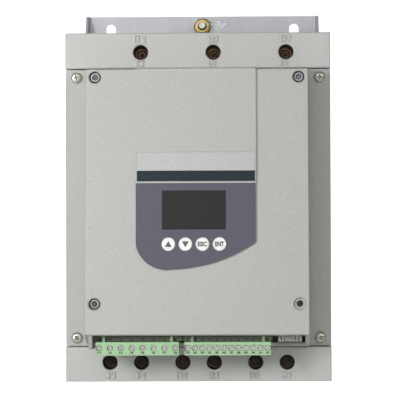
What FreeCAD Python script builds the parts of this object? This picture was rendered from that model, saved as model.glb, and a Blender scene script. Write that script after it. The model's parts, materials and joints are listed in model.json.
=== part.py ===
import FreeCAD, Part
import math
import os

from FreeCAD import Placement, Rotation, Vector

# Soft starter for a three-phase motor, hung on a wall by the folded plate at its back.
# Millimetres. +Z is up and the front faces -Y. The wall face of the back plate is y = 0.
# A depth is a distance in front of the wall, so a point at depth d has y = -d.

# Mounting chassis, one folded sheet
sheet = 2.0
bend_radius = 2.0
plate_above_body = 32.5
plate_below_body = 6.5
flange_width = 14.0
gusset_lip = 5.3
gusset_angle = 32.0
slot_from_side = 20.0
slot_from_end = 10.0
slot_width = 7.5
keyhole_head = 15.0
keyhole_drop = 9.5

# Earth terminal above the body
earth_from_top = 8.5
earth_stud_diameter = 6.0
earth_stud_length = 13.0
earth_thread_clearance = 0.1
earth_nut_flange = 13.6
earth_nut_flange_height = 1.6
earth_nut_across_flats = 10.0
earth_nut_height = 5.0

# Body outline seen from the front
body_height = 251.0
body_overhang = 0.5
top_block_height = 25.8
bottom_block_height = 25.0
housing_depth = 90.0
wing_width = 17.2
wing_setback = 3.0
wing_thickness = 3.0
wing_gap = 0.6
wing_corner = 2.5
wall = 2.5
block_edge_radius = 1.2

# Raised control cover with a sloping front
cover_top_step = 2.4
cover_leg_height = 10.6
cover_rise_top = 32.0
cover_rise_bottom = 45.0
cover_draft = 1.5
cover_wall = 3.0
cover_edge_radius = 1.0
recess_lip_rise = 10.0
leg_foot_rise = 5.0

# Raised panel on the cover, measured from its centre line and down its slope
panel_left = 42.7
panel_right = 41.4
panel_rise = 1.6
panel_straight_left = 124.0
panel_straight_right = 122.6
panel_low_x = -16.4
panel_low = 141.3
panel_sweep_bulge = 4.6
panel_corner_x = -35.1
panel_corner = 136.6
overlay_thickness = 0.8
overlay_top = 80.7
banner_top = 72.1
banner_height = 7.5
banner_thickness = 0.5
marking_strip_top = 58.9
marking_strip_thickness = 0.6
strip_side_margin = 0.6
strip_clearance = 0.15
strip_sunk = 0.1

# Display and keys
window_center_x = -2.1
window_width = 44.4
window_height = 27.2
window_top = 86.0
window_thickness = 1.2
key_diameter = 9.3
key_pitch = 11.9
key_row = 123.5
key_proud = 1.0
key_travel = 0.8
key_flange = 10.9
key_flange_thickness = 0.8
key_stem = 4.0
key_stem_end = -4.1
display_board_out = -9.0
display_board_thickness = 1.6
display_board_margin = 9.0
switch_size = 6.0
window_sunk = 0.3

# Power terminals, one line clamp and two motor-side clamps a phase
phase_pitch = 52.3
terminal_pitch = 22.6
line_row_from_top = 14.2
motor_row_from_bottom = 13.9
access_hole = 10.5
clamp_width = 18.0
clamp_height = 16.0
clamp_length = 25.0
clamp_setback = 25.0
clamp_side_wall = 2.6
clamp_screw_wall = 9.0
clamp_screw_diameter = 9.5
clamp_screw_proud = 1.0
clamp_screw_length = 10.0
cable_entry = 13.0
pocket_clearance = 0.2
guide_clearance = 0.5
block_margin = 3.0

# Power stage behind the cover
sink_base = 10.0
sink_top_gap = 4.0
fin_count = 16
fin_thickness = 2.4
fin_rear_gap = 1.5
module_width = 34.0
module_length = 94.0
module_height = 30.0
module_base = 3.0
module_case_height = 26.0
module_case_length = 74.0
module_notch = 5.6
module_terminal_z = 22.0
module_terminal_size = 14.0
bar_thickness = 3.0
tongue_width = 12.0
tongue_end_gap = 1.0
bar_shoulder = 8.0
line_bar_end = 36.3
motor_bar_end = 52.6
power_screw_diameter = 5.0
power_screw_length = 10.0
power_screw_head = 8.0
power_screw_head_height = 3.5
sensor_width = 20.0
sensor_height = 14.0
sensor_depth = 24.0

# Fans under the heat sink
fan_height = 25.0
fan_side_gap = 2.5
fan_depth_gap = 3.25
fan_rim = 2.0
fan_above_bottom = 28.3
fan_hub = 34.0
fan_blades = 5
fan_gap = 1.2
fan_pin_diameter = 5.0
fan_pin_end = 4.0
fan_hub_gap = 1.5
fan_tip_gap = 2.0
fan_arm = 3.0
blade_thickness = 1.6
blade_chord = 24.0
blade_pitch = 50.0
fan_shaft_clearance = 0.05
tray_sheet = 1.5
tray_slot = 6.4
tray_slot_pitch = 10.4

# Boards
partition_setback = 30.0
lead_window_width = 90.0
lead_window_height = 30.0
board_thickness = 1.6
control_board_setback = 13.0
control_board_side_gap = 14.3
control_board_top_gap = 23.7
control_board_foot_drop = 3.5
control_board_foot_height = 11.0
control_board_foot_side_gap = 4.8
firing_board_setback = 10.0
firing_board_width = 140.0
firing_board_height = 70.0
firing_board_z = 5.0
post_size = 7.0
relay_count = 3
relay_case_pitch = 14.0
relay_case_width = 12.0
relay_case_height = 28.0
relay_case_depth = 8.0
supply_size = 30.0
supply_depth = 6.0
supply_edge_gap = 10.0
chip_size = 24.0
chip_depth = 3.0
pulse_width = 18.0
pulse_height = 16.0
pulse_depth = 13.0

# Pluggable control terminals under the cover's lower edge
terminal_row_left_gap = 7.15
relay_poles = 8
relay_pitch = 7.62
relay_plug_width = 58.3
plug_gap = 3.8
signal_poles = 12
signal_pitch = 5.08
signal_plug_width = 60.5
socket_gap = 5.15
terminal_row_right_gap = 5.3
plug_standoff = 3.0
plug_depth = 16.4
plug_drop = 5.4
plug_height = 9.3
plug_tongue_height = 9.0
plug_tongue_depth = 6.4
header_depth = 11.4
header_height = 10.8
header_wall = 1.5
header_overhang = 0.8
plug_clearance = 0.4
latch_width = 2.0
latch_height = 4.6
latch_thickness = 2.2
latch_inset = 5.4
wire_entry = 3.4

# Data socket beside the terminals
socket_width = 16.4
socket_depth = 13.6
socket_drop = 5.5
socket_length = 16.0
socket_shell = 0.5
socket_mouth_width = 11.8
socket_mouth_depth = 6.8
socket_mouth_length = 12.0

# Screws
wing_screw_from_side = 7.9
wing_screw_from_top = 5.8
wing_screw_from_bottom = 5.9
wing_screw_diameter = 4.0
wing_screw_length = 12.0
wing_screw_head = 8.0
wing_screw_head_height = 2.8
boss_size = 9.4
pillar_size = 6.2
cover_screw_from_side = 6.7
cover_screw_from_top = 5.7
cover_screw_from_bottom = 21.3
cover_screw_diameter = 4.0
cover_screw_grip = 12.0
cover_screw_head = 6.2
cover_screw_head_height = 2.4
counterbore = 7.9
counterbore_depth = 5.0
column_diameter = 12.0
column_seat = 5.0
screw_clearance = 0.2
pilot_depth = 12.0

# Running clearance between pieces that move past each other
running_clearance = 0.3

# Number of flats on round details that repeat, on the fans and on the smallest details
round_side_count = 22
fan_side_count = 18
small_side_count = 8

# Widths and places across: the row of control terminals sets the width of the whole
terminal_row_width = relay_plug_width + plug_gap + signal_plug_width + socket_gap + socket_width
cover_width = terminal_row_left_gap + terminal_row_width + terminal_row_right_gap
body_width = cover_width + 2 * wing_width
plate_width = body_width - 2 * body_overhang
inner_width = plate_width - 2 * sheet
relay_center_x = terminal_row_left_gap + relay_plug_width / 2 - cover_width / 2
signal_center_x = relay_center_x + relay_plug_width / 2 + plug_gap + signal_plug_width / 2
socket_center_x = signal_center_x + signal_plug_width / 2 + socket_gap + socket_width / 2
slot_x = plate_width / 2 - slot_from_side
wing_screw_x = body_width / 2 - wing_screw_from_side
cover_screw_x = cover_width / 2 - cover_screw_from_side
control_board_width = cover_width - 2 * control_board_side_gap
control_board_foot_width = cover_width - 2 * control_board_foot_side_gap
key_x = [window_center_x + (i - 1.5) * key_pitch for i in range(4)]
phase_x = [(i - 1) * phase_pitch for i in range(3)]
line_x = [x + terminal_pitch / 2 for x in phase_x]
motor_x = [x + side * terminal_pitch / 2 for x in phase_x for side in (-1, 1)]

# Heights, from the middle of the back plate
plate_top = (plate_above_body + body_height + plate_below_body) / 2
body_top = plate_top - plate_above_body
body_bottom = plate_below_body - plate_top
slot_z = plate_top - slot_from_end
earth_z = plate_top - earth_from_top
cheek_top = body_top - 2 * wall
top_block_bottom = body_top - top_block_height
bottom_block_top = body_bottom + bottom_block_height
line_row_z = body_top - line_row_from_top
motor_row_z = body_bottom + motor_row_from_bottom
wing_top = top_block_bottom - wing_gap
wing_bottom = bottom_block_top + wing_gap
cover_top_z = wing_top - cover_top_step
cover_bottom_z = wing_bottom + cover_leg_height
tray_top = body_bottom + fan_above_bottom
fan_top = tray_top + fan_height
sink_bottom = fan_top + fan_gap
sink_top = cheek_top - sink_top_gap
line_bar_bend = line_row_z - line_bar_end
motor_bar_bend = motor_row_z + motor_bar_end
plug_top = cover_bottom_z - plug_drop
plug_bottom = plug_top - plug_height
header_top = plug_top + plug_clearance + header_height
control_board_foot = header_top - control_board_foot_drop
control_board_top = cover_top_z - control_board_top_gap
socket_bottom = cover_bottom_z - socket_drop
wing_screw_top = wing_top - wing_screw_from_top
wing_screw_bottom = wing_bottom + wing_screw_from_bottom
cover_screw_top = cover_top_z - cover_screw_from_top
cover_screw_bottom = cover_bottom_z + cover_screw_from_bottom

# Depths from the wall: the fans set the depth of the chassis
fan_size = inner_width / 2 - 2 * fan_side_gap
fan_bore = fan_size - 2 * fan_rim
chassis_depth = fan_size + 2 * fan_depth_gap + tray_sheet + 2 * sheet
sink_front = chassis_depth - sheet
module_front = sink_front + module_height
bar_front = module_front + bar_thickness
block_depth = chassis_depth + housing_depth
wing_depth = block_depth - wing_setback
wing_rear = wing_depth - wing_thickness
clamp_front_depth = block_depth - clamp_setback
clamp_rear_depth = clamp_front_depth - clamp_length
tongue_rear = clamp_rear_depth + clamp_side_wall
partition_depth = block_depth - partition_setback
firing_board_depth = partition_depth - firing_board_setback
leg_foot_depth = block_depth + leg_foot_rise
recess_lip_depth = block_depth + recess_lip_rise
cover_top_depth = block_depth + cover_rise_top
cover_bottom_depth = block_depth + cover_rise_bottom
control_board_depth = cover_top_depth - control_board_setback
control_board_front = control_board_depth + board_thickness
plug_rear_depth = control_board_front + plug_standoff
plug_front_depth = plug_rear_depth + plug_depth
key_flange_out = panel_rise - overlay_thickness - running_clearance

# The cover's front
slope = math.atan((cover_bottom_depth - cover_top_depth) / (cover_top_z - cover_bottom_z))
cover_front_length = (cover_top_z - cover_bottom_z) / math.cos(slope)
face_placement = Placement(
    Vector(0, -cover_top_depth, cover_top_z),
    Rotation(Vector(1, 0, 0), -math.degrees(slope)),
)


def front_depth(z):
    """Depth of the cover's sloping front at height z."""
    return cover_top_depth + (cover_top_z - z) * math.tan(slope)


def box(x0, x1, depth0, depth1, z0, z1):
    return Part.makeBox(x1 - x0, depth1 - depth0, z1 - z0, Vector(x0, -depth1, z0))


def post(x, depth, diameter, z0, z1):
    """Upright cylinder."""
    return Part.makeCylinder(diameter / 2, z1 - z0, Vector(x, -depth, z0))


def side_prism(points, x0, x1):
    """Outline of (depth, z) points, swept from x0 to x1."""
    corners = [Vector(x0, -depth, z) for depth, z in points]
    face = Part.Face(Part.makePolygon(corners + corners[:1]))
    return face.extrude(Vector(x1 - x0, 0, 0))


def upright_prism(points, z0, z1):
    """Outline of (x, depth) points, swept from z0 to z1."""
    corners = [Vector(x, -depth, z0) for x, depth in points]
    face = Part.Face(Part.makePolygon(corners + corners[:1]))
    return face.extrude(Vector(0, 0, z1 - z0))


def many_sided(x, z, diameter, depth0, depth1, sides):
    """Prism with equal flats that points at the viewer, measured over its corners."""
    corners = []
    for i in range(sides + 1):
        angle = math.radians(360.0 * i / sides)
        across = diameter / 2 * math.cos(angle)
        up = diameter / 2 * math.sin(angle)
        corners.append(Vector(x + across, -depth0, z + up))
    return Part.Face(Part.makePolygon(corners)).extrude(Vector(0, depth0 - depth1, 0))


def round_detail(x, z, diameter, depth0, depth1):
    """Round detail that repeats, drawn with flats."""
    return many_sided(x, z, diameter, depth0, depth1, round_side_count)


def small_rod(x, z, diameter, depth0, depth1):
    """Small round detail that repeats, drawn with a few flats."""
    return many_sided(x, z, diameter, depth0, depth1, small_side_count)


def hexagon(x, z, across_flats, depth0, depth1):
    return many_sided(x, z, 2 * across_flats / math.sqrt(3), depth0, depth1, 6)


def round_post(x, depth, diameter, z0, z1):
    """Upright round form of the fans, drawn with flats."""
    shape = many_sided(0, 0, diameter, 0, z1 - z0, fan_side_count)
    shape.rotate(Vector(0, 0, 0), Vector(1, 0, 0), -90)
    shape.translate(Vector(x, -depth, z0))
    return shape


def face_box(x0, x1, down0, down1, out0, out1):
    """Box on the cover's sloping front, down its slope and out from its surface."""
    shape = Part.makeBox(x1 - x0, out1 - out0, down1 - down0, Vector(x0, -out1, -down1))
    shape.Placement = face_placement
    return shape


def face_round(x, down, diameter, out0, out1):
    """Round detail square to the cover's sloping front."""
    shape = many_sided(x, -down, diameter, out0, out1, round_side_count)
    shape.Placement = face_placement
    return shape


def joined(shapes):
    return shapes[0].multiFuse(shapes[1:]).removeSplitter()


def edges_at(shape, test):
    """Straight edges whose two ends both pass the test."""
    found = []
    for edge in shape.Edges:
        ends = [vertex.Point for vertex in edge.Vertexes]
        if len(ends) == 2 and all(test(point) for point in ends):
            found.append(edge)
    return found


def folded_strip(path, thickness, x0, x1):
    """Strip bent along (depth, z) points, with its thickness on the viewer's side."""
    front = []
    for i, (depth, z) in enumerate(path):
        before = path[max(i - 1, 0)]
        after = path[min(i + 1, len(path) - 1)]
        turn_in = math.atan2(depth - before[0], z - before[1]) if i > 0 else None
        turn_out = math.atan2(after[0] - depth, after[1] - z) if i < len(path) - 1 else None
        turn_in = turn_out if turn_in is None else turn_in
        turn_out = turn_in if turn_out is None else turn_out
        middle = (turn_in + turn_out) / 2
        reach = thickness / math.cos((turn_out - turn_in) / 2)
        side = 1 if path[-1][1] > path[0][1] else -1
        front.append((depth + side * reach * math.cos(middle), z - side * reach * math.sin(middle)))
    return side_prism(list(path) + front[::-1], x0, x1)


# Chassis and earth terminal

def keyhole(x, z):
    """Seat for a fixing screw, with a wider hole below that lets its head through."""
    seat = round_detail(x, z, slot_width, -1, sheet + 1)
    neck = box(x - slot_width / 2, x + slot_width / 2, -1, sheet + 1, z - keyhole_drop, z)
    head = round_detail(x, z - keyhole_drop, keyhole_head, -1, sheet + 1)
    return joined([seat, neck, head])


def open_slot(x, z):
    """Seat for a lower fixing screw, open at the plate's bottom edge."""
    seat = round_detail(x, z, slot_width, -1, sheet + 1)
    mouth = box(x - slot_width / 2, x + slot_width / 2, -1, sheet + 1, -2 * plate_top, z)
    return joined([seat, mouth])


def mounting_chassis():
    half = plate_width / 2
    bottom = -plate_top
    skin = box(-half, half, 0, chassis_depth, bottom, plate_top)
    skin = skin.makeFillet(bend_radius + sheet, rear_uprights(skin, half, 0))
    hollow = box(-half + sheet, half - sheet, sheet, chassis_depth - sheet, bottom, plate_top)
    hollow = hollow.makeFillet(bend_radius, rear_uprights(hollow, half - sheet, sheet))
    gap = half - flange_width
    mouth = box(-gap, gap, chassis_depth - 2 * sheet, chassis_depth + 1, bottom, plate_top)
    channel = skin.cut(hollow).cut(mouth)
    gusset_end = gusset_lip + (plate_top - cheek_top) * math.tan(math.radians(gusset_angle))
    outline = [
        (-1, bottom),
        (sheet, bottom),
        (gusset_lip, body_bottom),
        (chassis_depth, body_bottom),
        (chassis_depth, cheek_top),
        (gusset_end, cheek_top),
        (gusset_lip, plate_top),
        (-1, plate_top),
    ]
    channel = channel.common(side_prism(outline, -plate_width, plate_width))
    holes = []
    for side in (-1, 1):
        holes.append(keyhole(side * slot_x, slot_z))
        holes.append(open_slot(side * slot_x, -slot_z))
    return channel.cut(holes)


def rear_uprights(shape, half, depth):
    """The two upright edges at this depth."""
    found = []
    for x in (-half, half):
        found += edges_at(shape, lambda p: abs(p.x - x) < 1e-6 and abs(p.y + depth) < 1e-6)
    return found


def earth_stud():
    """Stud welded to the front of the plate, thinner under the nut, where its thread engages."""
    free_from = sheet + earth_nut_flange_height + earth_nut_height + running_clearance
    thread_root = earth_stud_diameter - 2 * earth_thread_clearance
    root = many_sided(0, earth_z, thread_root, sheet, free_from, 2 * small_side_count)
    free_length = sheet + earth_stud_length - free_from
    start = Vector(0, -free_from, earth_z)
    return root.fuse(Part.makeCylinder(earth_stud_diameter / 2, free_length, start, Vector(0, -1, 0)))


def earth_nut():
    """Brass nut with a round flange."""
    flange_front = sheet + earth_nut_flange_height
    flange = round_detail(0, earth_z, earth_nut_flange, sheet, flange_front)
    nut = hexagon(0, earth_z, earth_nut_across_flats, flange_front, flange_front + earth_nut_height)
    thread = many_sided(0, earth_z, earth_stud_diameter, 0, chassis_depth, 2 * small_side_count)
    return joined([flange, nut]).cut(thread)


# Heat sink and fans

def heat_sink():
    """Extruded profile: a base that carries the power modules, and fins towards the wall."""
    half = inner_width / 2 - running_clearance
    fin_root = sink_front - sink_base
    fin_tip = sheet + fin_rear_gap
    step = (2 * half - fin_thickness) / (fin_count - 1)
    profile = [(-half, sink_front)]
    for i in range(fin_count):
        x = -half + i * step
        profile += [(x, fin_root), (x, fin_tip), (x + fin_thickness, fin_tip), (x + fin_thickness, fin_root)]
    profile += [(half, sink_front)]
    profile.remove((-half, fin_root))
    profile = [point for point in profile if point != (half, fin_root)]
    return upright_prism(profile, sink_bottom, sink_top)


def fan_centers():
    depth = (sheet + sink_front - tray_sheet) / 2
    return [(-inner_width / 4, depth), (inner_width / 4, depth)]


def fan_tray():
    """Folded sheet under the fans, with a punched grille below each."""
    half = inner_width / 2 - running_clearance
    outline = [
        (sheet + bend_radius, tray_top - tray_sheet),
        (sink_front, tray_top - tray_sheet),
        (sink_front, sink_bottom - running_clearance),
        (sink_front - tray_sheet, sink_bottom - running_clearance),
        (sink_front - tray_sheet, tray_top),
        (sheet + bend_radius, tray_top),
    ]
    tray = side_prism(outline, -half, half)
    slots = []
    rows = int(fan_bore / 2 / tray_slot_pitch)
    for x, depth in fan_centers():
        for i in range(-rows, rows + 1):
            center = x + i * tray_slot_pitch
            corner = abs(i) * tray_slot_pitch + tray_slot / 2
            reach = math.sqrt(max((fan_bore / 2) ** 2 - corner ** 2, 0))
            if reach > tray_slot:
                slots.append(box(center - tray_slot / 2, center + tray_slot / 2,
                                 depth - reach, depth + reach, tray_top - 2 * tray_sheet, tray_top + 1))
    return tray.cut(slots)


def fan_frame(x, depth):
    """Square frame with a round duct, and a hub on two arms that carries the rotor's pin."""
    half = fan_size / 2
    frame = box(x - half, x + half, depth - half, depth + half, tray_top, fan_top)
    frame = frame.cut(round_post(x, depth, fan_bore, tray_top - 1, fan_top + 1))
    arm_top = tray_top + fan_arm
    arms = box(x - half + 1, x + half - 1, depth - fan_arm / 2, depth + fan_arm / 2, tray_top, arm_top)
    hub = round_post(x, depth, fan_hub, tray_top, arm_top)
    pin = post(x, depth, fan_pin_diameter, tray_top, fan_top - fan_pin_end)
    return joined([frame, hub, pin, arms])


def fan_rotor(x, depth):
    """Hub and pitched blades that turn on the frame's pin."""
    low = tray_top + fan_arm + running_clearance
    high = fan_top - fan_hub_gap
    tip = fan_bore / 2 - fan_tip_gap
    blade = Part.makeBox(tip, blade_thickness, blade_chord, Vector(0, -blade_thickness / 2, -blade_chord / 2))
    blade.rotate(Vector(0, 0, 0), Vector(1, 0, 0), blade_pitch)
    blade.translate(Vector(x, -depth, (low + high) / 2))
    blades = []
    for i in range(fan_blades):
        copy = blade.copy()
        copy.rotate(Vector(x, -depth, 0), Vector(0, 0, 1), 360.0 / fan_blades * i)
        blades.append(copy)
    hub = round_post(x, depth, fan_hub, low, high)
    bore = post(x, depth, fan_pin_diameter + 2 * fan_shaft_clearance, low - 1,
                fan_top - fan_pin_end + running_clearance)
    return joined([hub] + blades).cut(bore)


# Power stage

def thyristor_module(x):
    half = module_width / 2
    rear = sink_front
    base = box(x - half, x + half, rear, rear + module_base, -module_length / 2, module_length / 2)
    case = box(x - half, x + half, rear + module_base, rear + module_case_height,
               -module_case_length / 2, module_case_length / 2)
    parts = [base, case]
    size = module_terminal_size / 2
    for z in (-module_terminal_z, module_terminal_z):
        parts.append(box(x - size, x + size, rear + module_case_height, module_front, z - size, z + size))
    body = joined(parts)
    cuts = []
    notch = module_notch / 2
    for end in (-1, 1):
        edge = end * module_length / 2
        low, high = sorted((edge - end * module_notch, edge + end))
        cuts.append(box(x - notch, x + notch, rear - 1, rear + module_base + 1, low, high))
        cuts.append(small_rod(x, end * module_terminal_z, power_screw_diameter,
                              bar_front - power_screw_length, module_front + 1))
    return body.cut(cuts)


def bar_hole(x, z):
    return small_rod(x, z, power_screw_diameter + 2 * screw_clearance, module_front - 1, bar_front + 1)


def line_busbar(x):
    """Bent copper strip from a module's upper terminal to the line clamp."""
    rise = tongue_rear - module_front
    end = line_row_z + clamp_height / 2 - tongue_end_gap
    path = [
        (module_front, module_terminal_z - module_terminal_size / 2),
        (module_front, line_bar_bend),
        (tongue_rear, line_bar_bend + rise),
        (tongue_rear, end),
    ]
    left = x - module_terminal_size / 2
    right = x + terminal_pitch / 2 + tongue_width / 2
    bar = folded_strip(path, bar_thickness, left, right)
    waist = box(left - 1, right - tongue_width, module_front - 1, block_depth,
                line_bar_bend - bar_shoulder, block_depth)
    return bar.cut([waist, bar_hole(x, module_terminal_z)])


def motor_busbar(x):
    """Bent copper fork from a module's lower terminal to the motor clamp and the bypass clamp."""
    rise = tongue_rear - module_front
    end = motor_row_z - clamp_height / 2 + tongue_end_gap
    path = [
        (module_front, -module_terminal_z + module_terminal_size / 2),
        (module_front, motor_bar_bend),
        (tongue_rear, motor_bar_bend - rise),
        (tongue_rear, end),
    ]
    reach = terminal_pitch / 2 + tongue_width / 2
    inner = terminal_pitch / 2 - tongue_width / 2
    bar = folded_strip(path, bar_thickness, x - reach, x + reach)
    fork = box(x - inner, x + inner, module_front - 1, block_depth, -block_depth,
               motor_bar_bend + bar_shoulder)
    return bar.cut([fork, bar_hole(x, -module_terminal_z)])


def power_screws():
    """Hexagon screws that hold the busbars on the modules."""
    screws = []
    for x in phase_x:
        for z in (-module_terminal_z, module_terminal_z):
            head = hexagon(x, z, power_screw_head, bar_front, bar_front + power_screw_head_height)
            shank = small_rod(x, z, power_screw_diameter, bar_front - power_screw_length, bar_front)
            screws.append(joined([head, shank]))
    return Part.makeCompound(screws)


def current_sensor(x):
    """Ring around one motor tongue, standing on the motor terminal block."""
    low = motor_block_top()
    rear = tongue_rear + (bar_thickness - sensor_depth) / 2
    half = sensor_width / 2
    body = box(x - half, x + half, rear, rear + sensor_depth, low, low + sensor_height)
    reach = tongue_width / 2 + running_clearance
    tongue_front = tongue_rear + bar_thickness
    window = box(x - reach, x + reach, tongue_rear - running_clearance, tongue_front + running_clearance,
                 low - 1, low + sensor_height + 1)
    return body.cut(window)


def motor_block_top():
    return bottom_block_top - wall - running_clearance


def cable_way(x, z0, z1):
    """Way for a cable, in line with a clamp's throat."""
    half = cable_entry / 2
    return box(x - half, x + half, tongue_rear + bar_thickness, clamp_front_depth - clamp_screw_wall, z0, z1)


def terminal_positions():
    return [(x, line_row_z) for x in line_x] + [(x, motor_row_z) for x in motor_x]


def terminal_clamps():
    """Brass cages: the screw presses the cable against the busbar inside."""
    clamps = []
    half_width = clamp_width / 2
    half_height = clamp_height / 2
    for x, z in terminal_positions():
        cage = box(x - half_width, x + half_width, clamp_rear_depth, clamp_front_depth,
                   z - half_height, z + half_height)
        inside = half_width - clamp_side_wall
        throat = box(x - inside, x + inside, tongue_rear, clamp_front_depth - clamp_screw_wall,
                     z - half_height - 1, z + half_height + 1)
        thread = small_rod(x, z, clamp_screw_diameter, tongue_rear + bar_thickness, clamp_front_depth + 1)
        clamps.append(cage.cut([throat, thread]))
    return Part.makeCompound(clamps)


def clamp_screws():
    screws = []
    for x, z in terminal_positions():
        front = clamp_front_depth + clamp_screw_proud
        screws.append(small_rod(x, z, clamp_screw_diameter, front - clamp_screw_length, front))
    return Part.makeCompound(screws)


def terminal_block(centers, z, low, high, cable_side):
    """Black moulding behind a row of access holes, with a pocket for each clamp."""
    front = block_depth - wall
    margin = clamp_width / 2 + block_margin
    left = min(centers) - margin
    right = max(centers) + margin
    block = box(left, right, clamp_rear_depth - 1, front, low, high)
    cuts = []
    for x in centers:
        half = clamp_width / 2 + pocket_clearance
        pocket_low = z - clamp_height / 2 - pocket_clearance
        pocket_high = z + clamp_height / 2 + pocket_clearance
        if cable_side > 0:
            pocket_low = low - 1
        else:
            pocket_high = high + 1
        cuts.append(box(x - half, x + half, 0, clamp_front_depth + clamp_screw_proud + pocket_clearance,
                        pocket_low, pocket_high))
        entry_low, entry_high = sorted((z, z + cable_side * (high - low)))
        cuts.append(cable_way(x, entry_low, entry_high))
        cuts.append(small_rod(x, z, access_hole + 2 * guide_clearance, clamp_front_depth, front + 1))
    return block.cut(cuts)


def line_terminal_block():
    low = top_block_bottom + wall + running_clearance
    high = body_top - wall - running_clearance
    return terminal_block(line_x, line_row_z, low, high, 1)


def motor_terminal_block():
    low = body_bottom + wall + running_clearance
    return terminal_block(motor_x, motor_row_z, low, motor_block_top(), -1)


# Power housing

def cable_openings():
    """Cable entries through the housing's top and bottom walls."""
    cuts = [cable_way(x, body_top - 2 * wall, body_top + 1) for x in line_x]
    cuts += [cable_way(x, body_bottom - 1, body_bottom + 2 * wall) for x in motor_x]
    return cuts


def housing_shell():
    half = body_width / 2
    outline = [
        (chassis_depth, body_bottom),
        (block_depth, body_bottom),
        (block_depth, bottom_block_top),
        (wing_rear, bottom_block_top),
        (wing_rear, top_block_bottom),
        (block_depth, top_block_bottom),
        (block_depth, body_top),
        (chassis_depth, body_top),
    ]
    shell = side_prism(outline, -half, half)
    corners = edges_at(shell, lambda p: abs(p.y + block_depth) < 1e-6)
    shell = shell.makeFillet(block_edge_radius, corners)
    inside = half - wall
    floor = body_bottom + wall
    ceiling = body_top - wall
    rear_mouth = box(-inside, inside, 0, chassis_depth + 2 * wall, tray_top, sink_top)
    power_room = box(-inside, inside, chassis_depth + wall, partition_depth, floor, ceiling)
    terminal_room = box(-inside, inside, partition_depth - 1, block_depth - wall, floor, ceiling)
    top_room = terminal_room.common(box(-half, half, 0, block_depth, top_block_bottom + wall, ceiling))
    bottom_room = terminal_room.common(box(-half, half, 0, block_depth, floor, bottom_block_top - wall))
    front_face = partition_depth + wall
    control_room = box(-inside, inside, front_face, block_depth, bottom_block_top, top_block_bottom)
    lead_half = lead_window_width / 2
    lead_window = box(-lead_half, lead_half, partition_depth - 1, partition_depth + 2 * wall,
                      -lead_window_height / 2, lead_window_height / 2)
    return shell.cut([power_room, rear_mouth, top_room, bottom_room, control_room, lead_window])


def cover_screw_positions():
    return [(side * cover_screw_x, z) for z in (cover_screw_top, cover_screw_bottom) for side in (-1, 1)]


def wing_screw_positions():
    return [(side * wing_screw_x, z) for z in (wing_screw_top, wing_screw_bottom) for side in (-1, 1)]


def column_rear(z):
    """Depth at which a cover column meets the housing's pillar."""
    return front_depth(z) - counterbore_depth - column_seat


def board_posts(places, depth0, depth1):
    """Square posts that carry a board."""
    half = post_size / 2
    return [box(x - half, x + half, depth0, depth1, z - half, z + half) for x, z in places]


def control_board_places():
    x = control_board_width / 2 - post_size
    low = control_board_foot + control_board_foot_height + post_size
    return [(side * x, z) for side in (-1, 1) for z in (low, control_board_top - post_size)]


def firing_board_places():
    x = firing_board_width / 2 - post_size
    z = firing_board_height / 2 - post_size
    return [(side_x * x, firing_board_z + side_z * z) for side_x in (-1, 1) for side_z in (-1, 1)]


def power_housing():
    front_face = partition_depth + wall
    solids = [housing_shell()]
    cuts = cable_openings()
    for x, z in cover_screw_positions():
        half = pillar_size / 2
        solids.append(box(x - half, x + half, front_face - 1, column_rear(z), z - half, z + half))
        cuts.append(small_rod(x, z, cover_screw_diameter, column_rear(z) - pilot_depth, column_rear(z) + 1))
    for x, z in wing_screw_positions():
        half = boss_size / 2
        solids.append(box(x - half, x + half, front_face - 1, wing_rear, z - half, z + half))
        cuts.append(small_rod(x, z, wing_screw_diameter, wing_rear - pilot_depth, wing_rear + 1))
    solids += board_posts(control_board_places(), front_face - 1, control_board_depth)
    solids += board_posts(firing_board_places(), firing_board_depth + board_thickness, partition_depth + 1)
    for x, z in terminal_positions():
        cuts.append(round_detail(x, z, access_hole, block_depth - 2 * wall, block_depth + 1))
    return joined(solids).cut(cuts)


# Control cover

def panel_outline(out):
    """Outline of the raised panel, on the cover's front: straight sides and a swept lower edge."""
    left = -panel_left
    right = panel_right

    def point(x, down):
        return Vector(x, -out, -down)

    sweep_x = (right + panel_low_x) / 2
    sweep = (panel_straight_right + panel_low) / 2 + panel_sweep_bulge
    lowest = point(panel_low_x, panel_low)
    sweep_arc = Part.Arc(point(right, panel_straight_right), point(sweep_x, sweep), lowest)
    corner_arc = Part.Arc(lowest, point(panel_corner_x, panel_corner), point(left, panel_straight_left))
    return [
        Part.LineSegment(point(right, 0), point(right, panel_straight_right)).toShape(),
        sweep_arc.toShape(),
        corner_arc.toShape(),
        Part.LineSegment(point(left, panel_straight_left), point(left, 0)).toShape(),
        Part.LineSegment(point(left, 0), point(right, 0)).toShape(),
    ]


def panel_slab(top, out0, out1):
    """Raised panel's area below the line top, between two heights above the cover's front."""
    slab = Part.Face(Part.Wire(panel_outline(out0))).extrude(Vector(0, out0 - out1, 0))
    slab.Placement = face_placement
    keep = face_box(-cover_width, cover_width, top, cover_front_length, out0 - 1, out1 + 1)
    return slab.common(keep)


def cover_block(inset, profile):
    """Drafted block under the sloping front, trimmed to a side outline."""
    reach = 2 * (cover_bottom_depth - wing_rear)
    half = cover_width / 2 - inset
    far = half + reach * math.tan(math.radians(cover_draft))
    spare = cover_front_length / 2
    corners = [
        Vector(-half, 0, spare),
        Vector(half, 0, spare),
        Vector(far, reach, spare),
        Vector(-far, reach, spare),
    ]
    block = Part.Face(Part.makePolygon(corners + corners[:1]))
    block = block.extrude(Vector(0, 0, -cover_front_length - 2 * spare))
    block.Placement = face_placement.multiply(Placement(Vector(0, inset, 0), Rotation()))
    return block.common(side_prism(profile, -body_width, body_width))


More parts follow.
